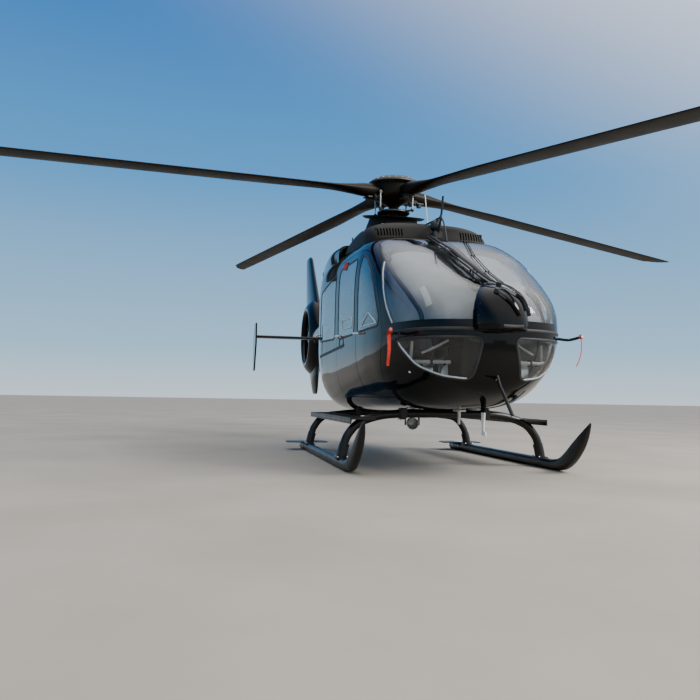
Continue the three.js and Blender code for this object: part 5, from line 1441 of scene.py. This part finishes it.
fitted(joined(made_of(powder_coat, base, *forks), bowl, lens), "belly_lamp_unit", "belly_lamp")

# Pitot tubes, two bent stainless tubes that stand out from the nose's band on round flanges. They are
# painted black up to their bright tips.
PITOT = [(0.620, -2.560, 1.215), (0.700, -2.640, 1.212), (0.765, -2.720, 1.200), (0.800, -2.860, 1.218)]
for hand, sign in HANDS:
    path = curved([(sign * x, y, z) for x, y, z in PITOT], 40)
    tube = along_path(path[:36], 0.024, 0.024, powder_coat, sides=20)
    tip = along_path(path[34:], 0.019, 0.019, chrome, sides=20)
    at = on_skin(BODY, [path[14]], 0, sign * 0.3, sign * 1.0)
    flange = heads(at, skin_normals(BODY, at), 0.030, 0.008, powder_coat, 24)
    fitted(joined(tube, tip, flange), f"pitot_tube_{hand}", f"pitot_{hand}")

# The red covers, which are pulled before flight. A sewn sleeve of nylon webbing closes the starboard
# tube, and a flat woven ribbon hangs from each tube.
red_cloth = coated("nylon_webbing_red", [(0.3, "#a01405"), (0.7, "#b82409")], 0.8, (25.0, 3.0),
                   ("Wave", 0.4, 0.0003, {"Scale": 320.0}, "Z"))


def ribbon(middle, half_widths, across, thickness=0.0012):
    """A hanging strap from its middle line, half widths along it and its direction across."""
    middle = np.asarray(middle, float)
    across = np.broadcast_to(across, middle.shape)
    ahead = np.gradient(middle, axis=0)
    out = np.cross(ahead, across)
    out /= np.linalg.norm(out, axis=1)[:, None]
    steps, count = np.linspace(-1, 1, 9), len(middle)
    points = [middle[i] + s * half_widths[i] * across[i] + face * thickness / 2 * out[i]
              for face in (1, -1) for i in range(count) for s in steps]
    faces = []
    for i in range(count - 1):
        for j in range(8):
            a = i * 9 + j
            faces.append((a, a + 1, a + 10, a + 9))
            b = a + count * 9
            faces.append((b, b + 9, b + 10, b + 1))
    edge = [i * 9 for i in range(count)] + [(count - 1) * 9 + j for j in range(1, 9)]
    edge += [i * 9 + 8 for i in range(count - 2, -1, -1)] + list(range(7, 0, -1))
    other = [k + count * 9 for k in edge]
    faces += [(edge[k - 1], edge[k], other[k], other[k - 1]) for k in range(len(edge))]
    made = mesh_object("ribbon", points, faces, red_cloth)
    face_outwards(made)
    return smooth_edges(made, 60)


RIBBON = 0.250
down = np.linspace(0, 1, 40)
hang = np.stack([-0.800 + 0.004 * np.sin(5 * down), -2.812 + 0.006 * np.sin(7 * down + 0.4),
                 1.192 - RIBBON * down], axis=1)
strap = ribbon(hang, 0.017 - 0.006 * down, (0.97, 0.24, 0.0))
fitted(strap, "pitot_ribbon_strap_starboard")
path = curved([(-x, y, z) for x, y, z in PITOT], 40)
sleeve = along_path(path[31:], 0.036, 0.030, red_cloth, sides=24)
knot = along_path([hang[0] + [0, 0, 0.030], hang[0] + [0, 0, 0.012], hang[2]], 0.024, 0.006, red_cloth)
fitted(joined(sleeve, knot), "pitot_sleeve_starboard", "pitot_cover_starboard")
bow = np.stack([0.798 + 0.012 * np.sin(3.0 * down) - 0.040 * down**2, -2.846 + 0.010 * down,
                1.206 - RIBBON * 0.93 * down], axis=1)
port_strap = ribbon(bow, 0.009 + 0 * down, (0.8, 0.6, 0.0))
loop = [(x, -2.845, z) for x, z in circle(18, 0.015, (0.798, 1.217))]
fitted(along_path(loop, 0.012, 0.0025, red_cloth, True), "pitot_loop_port")
fitted(port_strap, "pitot_ribbon_strap_port", "pitot_ribbon_port")

# The intake cover's tag. A red nylon flag is stitched to the cover's edge and lies on the starboard
# shoulder in front of the intake.
TAG = [(-0.7, -1.020, 2.040), (-0.7, -0.930, 2.058), (-0.7, -0.840, 2.070)]
path = on_skin(BODY, curved(TAG, 24), 0, -0.3, -1.0, 0.004)
out = skin_normals(BODY, path)
upward = np.cross(np.gradient(path, axis=0), out)
upward /= np.linalg.norm(upward, axis=1)[:, None]
tag = ribbon(path, 0.042 + 0 * path[:, 0], upward)
fitted(tag, "intake_tag_starboard")

# Sun blinds. Parked, the windscreens are backed by silver-grey coated nylon, which keeps the cabin
# cool. It is stretched behind each pane, and creased where it was folded.
blind_cloth = coated("coated_nylon_silver_grey", [(0.3, "#8b8d91"), (0.7, "#a5a7ab")], 0.5, (5.0, 5.0),
                     ("Wave", 0.2, 0.0002, {"Scale": 220.0}, "X"))

BLIND_INSET = 0.100
BLIND_CLOTH = 0.0015
BLIND_EDGE = [(-3.4, 1.310), (-2.400, 1.310), (-2.280, 1.46), (-2.130, 1.69), (-1.950, 1.93), (-1.720, 2.12),
              (-1.660, 2.7), (-3.4, 2.7)]
for hand, sign in HANDS:
    blind = carve(loft("blind", BODY, RINGS, SIDES, -BLIND_INSET),
                  ("DIFFERENCE", loft("behind", BODY, RINGS, SIDES, -BLIND_INSET - BLIND_CLOTH)),
                  ("INTERSECT", prism("x", BLIND_EDGE, *sorted((sign * 0.070, sign * 1.0)), 0.05)))
    places = np.array([v.co[:] for v in blind.data.vertices])
    local = places - ZERO
    x, y, z = np.abs(local[:, 0]), local[:, 1], local[:, 2]
    crease = 0.007 * np.exp(-((x - 0.42 - 0.12 * (z - 1.7)) / 0.020) ** 2) * np.clip((2.0 - z) / 0.4, 0, 1)
    waves = 0.004 * np.sin(9 * x + 5 * z) + 0.003 * np.sin(17 * x - 8 * y + 1.3)
    moved = places + (crease + waves)[:, None] * skin_normals(BODY, local)
    blind.data.vertices.foreach_set("co", moved.ravel())
    blind = smooth_edges(largest_part(blind), 40)
    fitted(blind, f"sun_blind_{hand}", material=blind_cloth)

# The band's rail. A black rubber gutter runs round the nose between the windscreens and the chin
# windows, and hides their joint.
half = stepped([(0.0, 0.0), (0.55, 0.0)], 0.02)[:, 0]
front_run = on_skin(BODY, [(x, -3.0, 1.228) for x in half], 1, -2.3, -3.3)
side_run = on_skin(BODY, [(0.5, y, 1.228) for y in np.arange(front_run[-1][1] + 0.02, -2.43, 0.02)], 0, 0.3,
                   1.0)
half_run = np.concatenate([front_run, side_run])
whole_run = np.concatenate([half_run[::-1] * [-1, 1, 1], half_run[1:]])
rail = on_body(whole_run, 0.026, 0.012, rubber)
fitted(rail, "band_rail")

# The cabin floor, a sandwich panel of aluminium skins on a honeycomb core. It is covered in pale
# ribbed rubber, and stays the CAD solid.
floor_rubber = coated("ribbed_rubber_pale", "#6f706e", 0.7, None, ("Wave", 0.5, 0.001, {"Scale": 100.0}, "X"))
clad(frame["nodes"]["cabin_floor"], floor_rubber)

# The instrument console. Its moulded body and hood are in textured matt black, and four glass
# screens, knobs and a switch panel face the seats.
FLOOR = 0.790
console_black = coated("textured_abs_black", "#1c1c1d", 0.6, None, ("Voronoi", 0.3, 0.0003, {"Scale": 700.0}))
screen_glass = coated("display_glass_off", "#05070a", 0.08, IOR=1.5)

PEDESTAL = [(-2.500, FLOOR + 0.002), (-1.782, FLOOR + 0.002), (-1.782, 0.960), (-2.330, 1.130),
            (-2.340, 1.300), (-2.540, 1.300), (-2.560, 1.130)]
PANEL = [(-2.362, 1.130), (-2.332, 1.400), (-2.560, 1.400), (-2.545, 1.130)]
HOOD = [(-2.310, 1.400), (-2.330, 1.440), (-2.440, 1.476), (-2.540, 1.462), (-2.590, 1.405)]
parts = [softened(prism("x", PEDESTAL, -0.118, 0.118), 0.010, 3),
         softened(prism("x", PANEL, -0.320, 0.320), 0.008, 3),
         softened(prism("x", HOOD, -0.330, 0.330), 0.012, 3)]
console = made_of(console_black, *parts)
screens = []
for x in (-0.235, -0.080, 0.080, 0.235):
    bezel = softened(block(x - 0.072, x + 0.072, -2.352, -2.338, 1.200, 1.375), 0.003)
    glass = softened(block(x - 0.060, x + 0.060, -2.342, -2.3355, 1.220, 1.355), 0.001)
    screens += [clad(bezel, console_black), clad(glass, screen_glass)]
knobs = heads([(x + dx, -2.338, 1.208) for x in (-0.235, -0.080, 0.080, 0.235) for dx in (-0.045, -0.015,
        0.015, 0.045)],
              (0, 1, 0), 0.007, 0.012, powder_coat)
slope = (0.0, 0.296, 0.955)
switches = heads([(x, y, 1.130 - 0.310 * (y + 2.330)) for x in np.linspace(-0.085, 0.085, 6)
                  for y in np.arange(-2.28, -1.84, 0.055)], slope, 0.006, 0.010, aluminium, 8)
fitted(joined(console, *screens, knobs, switches), "console_unit", "instrument_console")

# Pedals and tubes in front of the pilots' feet, seen through the chin windows. The tubes are white
# enamelled steel in black clamps, and the pedals are cast aluminium on black stalks.
FOOT_TUBES = [
    # size, material, and three points
    (0.034, enamel, (0.570, -2.700, 0.985), (0.420, -2.715, 0.985), (0.270, -2.700, 0.985)),
    (0.020, enamel, (0.489, -2.660, 1.060), (0.400, -2.680, 1.100), (0.283, -2.690, 1.165)),
    (0.024, enamel, (0.575, -2.640, 0.900), (0.572, -2.650, 1.020), (0.568, -2.660, 1.150)),
    (0.018, aluminium, (0.340, -2.620, 0.850), (0.335, -2.670, 0.930), (0.330, -2.700, 0.985)),
]


def tube(sign, size, material, *points):
    """A round tube on a smooth curve through its points, on one side."""
    return along_path(curved([(sign * x, y, z) for x, y, z in points], 16), size, size, material)


for hand, sign in HANDS:
    parts = [tube(sign, *row) for row in FOOT_TUBES]
    for x in (0.300, 0.420):
        pedal = softened(prism("x", [(-2.640, 0.860), (-2.625, 0.860), (-2.600, 1.000), (-2.617, 1.003)],
                               sign * x - 0.038, sign * x + 0.038), 0.004)
        clad(pedal, aluminium)
        parts += [pedal, tube(sign, 0.016, powder_coat, (x, -2.630, 0.900), (x, -2.560, 0.850),
                              (x, -2.540, 0.800))]
    for x, y, z, size in ((0.520, -2.665, 0.985, 0.030), (0.320, -2.685, 0.985, 0.026),
                          (0.430, -2.700, 0.985, 0.024)):
        clamp = clad(softened(block(sign * x - size / 2, sign * x + size / 2, y - 0.034, y + 0.022, z - 0.026,
                                    z + 0.026), 0.004), powder_coat)
        parts.append(clamp)
    fitted(joined(*parts), f"pedals_{hand}")

# Seats. Each is a pressed aluminium bucket on a pedestal, with foam cushions in grey woven cloth that
# are blown up a little by their stuffing, and a black harness.
seat_cloth = coated("woven_polyester_grey", "#3d4046", 0.9)
tree = seat_cloth.node_tree
place = node(tree, "ShaderNodeTexCoord").outputs["Object"]
warp, weft = [node(tree, "ShaderNodeTexWave", {"Vector": place, "Scale": 160.0}, bands_direction=across)
              for across in "XZ"]
weave = node(tree, "ShaderNodeMath", {0: warp.outputs["Fac"], 1: weft.outputs["Fac"]}, operation="MULTIPLY")
raised = node(tree, "ShaderNodeBump", {"Height": weave.outputs[0], "Strength": 0.4, "Distance": 0.0004})
tone = node(tree, "ShaderNodeValToRGB", {"Fac": weave.outputs[0]}, [(0.0, "#3d4046"), (1.0, "#5a5e66")])
tree.links.new(tone.outputs["Color"], tree.nodes["Principled BSDF"].inputs["Base Color"])
tree.links.new(raised.outputs["Normal"], tree.nodes["Principled BSDF"].inputs["Normal"])


def kept(body, *modifiers):
    """Adds modifiers, given as a type and settings, and keeps what they make as a plain mesh."""
    for kind, settings in modifiers:
        modifier = body.modifiers.new("shape", kind)
        for key, value in settings.items():
            setattr(modifier, key, value)
    return settled(body)


STUFFING_MOVES = 0.010


def stuffed(body):
    """Lets a cushion's stuffing press its cloth out, no point further than a cap."""
    kept(body, ("REMESH", {"mode": "VOXEL", "voxel_size": 0.006}))
    start = array_of(body.data.vertices, "co")
    cloth = body.modifiers.new("cloth", "CLOTH")
    cloth.settings.use_pressure = True
    cloth.settings.uniform_pressure_force = 4.0
    cloth.settings.effector_weights.gravity = 0.0
    for step in range(1, 21):
        bpy.context.scene.frame_set(step)
    moved = array_of(settled(body).data.vertices, "co") - start
    length = np.linalg.norm(moved, axis=1)[:, None]
    end = start + moved * np.minimum(1.0, STUFFING_MOVES / np.maximum(length, 1e-9))
    body.data.vertices.foreach_set("co", end.ravel())
    bpy.context.scene.frame_set(1)
    return kept(body, ("SUBSURF", {"levels": 1}))


def sewn(body, axis, lines, depth=0.006, reach=0.014):
    """Draws a cushion's cloth in along seams, which lie across one axis."""
    points = body.data.vertices
    places = array_of(points, "co")
    away = np.min([np.abs(places[:, axis] - line) for line in lines], axis=0)
    drawn_in = depth * np.clip(1 - away / reach, 0, 1) ** 2
    points.foreach_set("co", (places - drawn_in[:, None] * array_of(points, "normal")).ravel())
    body.data.shade_smooth()
    return body


PAD_ROWS = [
    # share of the length, of the half width, of the depth below and above, roundness below, roundness above
    (-0.50, 0.90, 0.45, 0.45, 4.0, 4.0),
    (-0.46, 0.97, 0.85, 0.82, 4.5, 4.0),
    (-0.36, 1.00, 1.00, 0.97, 5.0, 3.6),
    (0.00, 1.00, 1.00, 1.04, 5.0, 3.4),
]
PAD_ROWS += [(-y, *rest) for y, *rest in PAD_ROWS[2::-1]]


def cushion(length, width, thick):
    """A crowned closed pad about the origin, its length along y, stuffed and sewn."""
    half, deep = width / 2, thick / 2
    rows = [(length * y, 0, half * wide, -deep * low, deep * high, 0, below, above)
            for y, wide, low, high, below, above in PAD_ROWS]
    body = loft("cushion", rows, 30, 40)
    body.data.transform(from_stations)
    stuffed(body)
    return sewn(sewn(clad(body, seat_cloth), 1, [-length * 0.22, 0, length * 0.22]), 0,
                [-half * 0.62, half * 0.62])


def set_pad(pad, name, x, y, z, lean_back=0.0):
    """Fits a copy of a pad made about the origin, moved to its place and leant back."""
    made = copy_of(pad, name)
    made.data.transform(to_stations @ Matrix.Translation((x, y, z)) @ Matrix.Rotation(lean_back, 4, "X"))
    fitted(made, name)


SEAT_X = 0.355
BACK_LEAN = math.radians(82)
pan_pad, back_pad = cushion(0.46, 0.42, 0.085), cushion(0.50, 0.40, 0.075)
head_pad = cushion(0.13, 0.26, 0.060)
WEBBING, WEBBING_THICK = 0.048, 0.0022
for hand, sign in HANDS:
    x = sign * SEAT_X
    bucket = [softened(block(x - 0.222, x + 0.222, -1.925, -1.440, 1.022, 1.045), 0.010, 3),
              softened(prism("x", [(-1.462, 1.050), (-1.440, 1.046), (-1.330, 1.795), (-1.350, 1.798)],
                             x - 0.215, x + 0.215),
                       0.008, 3),
              softened(block(x - 0.200, x - 0.170, -1.840, -1.440, FLOOR + 0.002, 1.024), 0.006),
              softened(block(x + 0.170, x + 0.200, -1.840, -1.440, FLOOR + 0.002, 1.024), 0.006),
              softened(block(x - 0.215, x + 0.215, -1.860, -1.430, FLOOR + 0.001, FLOOR + 0.026), 0.006)]
    fitted(made_of(powder_coat, *bucket), f"seat_bucket_{hand}", f"pilot_seat_{hand}")
    set_pad(pan_pad, f"seat_pan_pad_{hand}", x, -1.690, 1.086)
    set_pad(back_pad, f"seat_back_pad_{hand}", x, -1.455, 1.395, BACK_LEAN)
    set_pad(head_pad, f"seat_head_pad_{hand}", x, -1.405, 1.735, BACK_LEAN)

# The rear bench, four places wide on one welded frame in black powder coat. It has the same foam
# cushions as the pilots' seats, in two halves.
bench_pan, bench_back = cushion(0.42, 0.60, 0.090), cushion(0.58, 0.60, 0.080)
frame_parts = [softened(block(-0.615, 0.615, 0.035, 0.480, 1.026, 1.046), 0.008),
               softened(prism("x", [(0.500, 1.050), (0.522, 1.046), (0.635, 1.755), (0.612, 1.758)], -0.610,
                              0.610), 0.006)]
frame_parts += [softened(block(x - 0.020, x + 0.020, y - 0.020, y + 0.020, FLOOR + 0.001, 1.030), 0.005)
                for x in (-0.50, 0.0, 0.50) for y in (0.140, 0.440)]
fitted(made_of(powder_coat, *frame_parts), "bench_frame", "rear_bench")
for hand, sign in HANDS:
    set_pad(bench_pan, f"bench_pan_pad_{hand}", sign * 0.306, 0.262, 1.090)
    set_pad(bench_back, f"bench_back_pad_{hand}", sign * 0.306, 0.512, 1.410, BACK_LEAN)
for pad in (pan_pad, back_pad, head_pad, bench_pan, bench_back):
    bpy.data.objects.remove(pad)

# Harnesses, flat polyester webbing with a steel buckle. Two straps come over each back and meet two
# lap straps at the buckle.
webbing = coated("polyester_webbing_black", "#1d1e20", 0.75, None,
                 ("Wave", 0.4, 0.0003, {"Scale": 250.0}, "DIAGONAL"))
for hand, sign in HANDS:
    x = sign * SEAT_X
    parts = []
    for side in (-1, 1):
        over = [(x + side * 0.075, -1.325, 1.700), (x + side * 0.078, -1.360, 1.730),
                (x + side * 0.080, -1.430, 1.660), (x + side * 0.075, -1.500, 1.450),
                (x + side * 0.050, -1.545, 1.240), (x + side * 0.020, -1.600, 1.165)]
        lap = [(x + side * 0.215, -1.500, 1.060), (x + side * 0.205, -1.520, 1.130),
               (x + side * 0.110, -1.575, 1.155), (x + side * 0.020, -1.605, 1.160)]
        for points, across in ((over, (1, 0.05, 0.05)), (lap, (0, 0.8, -0.2))):
            parts.append(along_path(curved(points, 40), WEBBING_THICK, WEBBING, webbing,
                                    outwards=[across] * 40))
    buckle = clad(softened(cylinder("z", (x, -1.605), 0.030, 1.158, 1.176, 32), 0.004), chrome)
    fitted(joined(*parts, buckle), f"harness_{hand}")

# The engines and the gearbox, closed in under the cowlings. They are cast and machined light alloy,
# grey and stained by oil, and stay the CAD solids.
cast_alloy = coated("cast_light_alloy", [(0.35, "#6d6b66"), (0.7, "#96948f")], 0.5, (8.0, 6.0),
                    ("Noise", 0.3, 0.0004, {"Scale": 600.0, "Detail": 1.0}), Metallic=1.0)
for name, piece in frame["nodes"].items():
    if name != "cabin_floor":
        clad(piece, cast_alloy)

for tool in (body_outside, shell, pane_skin):
    bpy.data.objects.remove(tool)
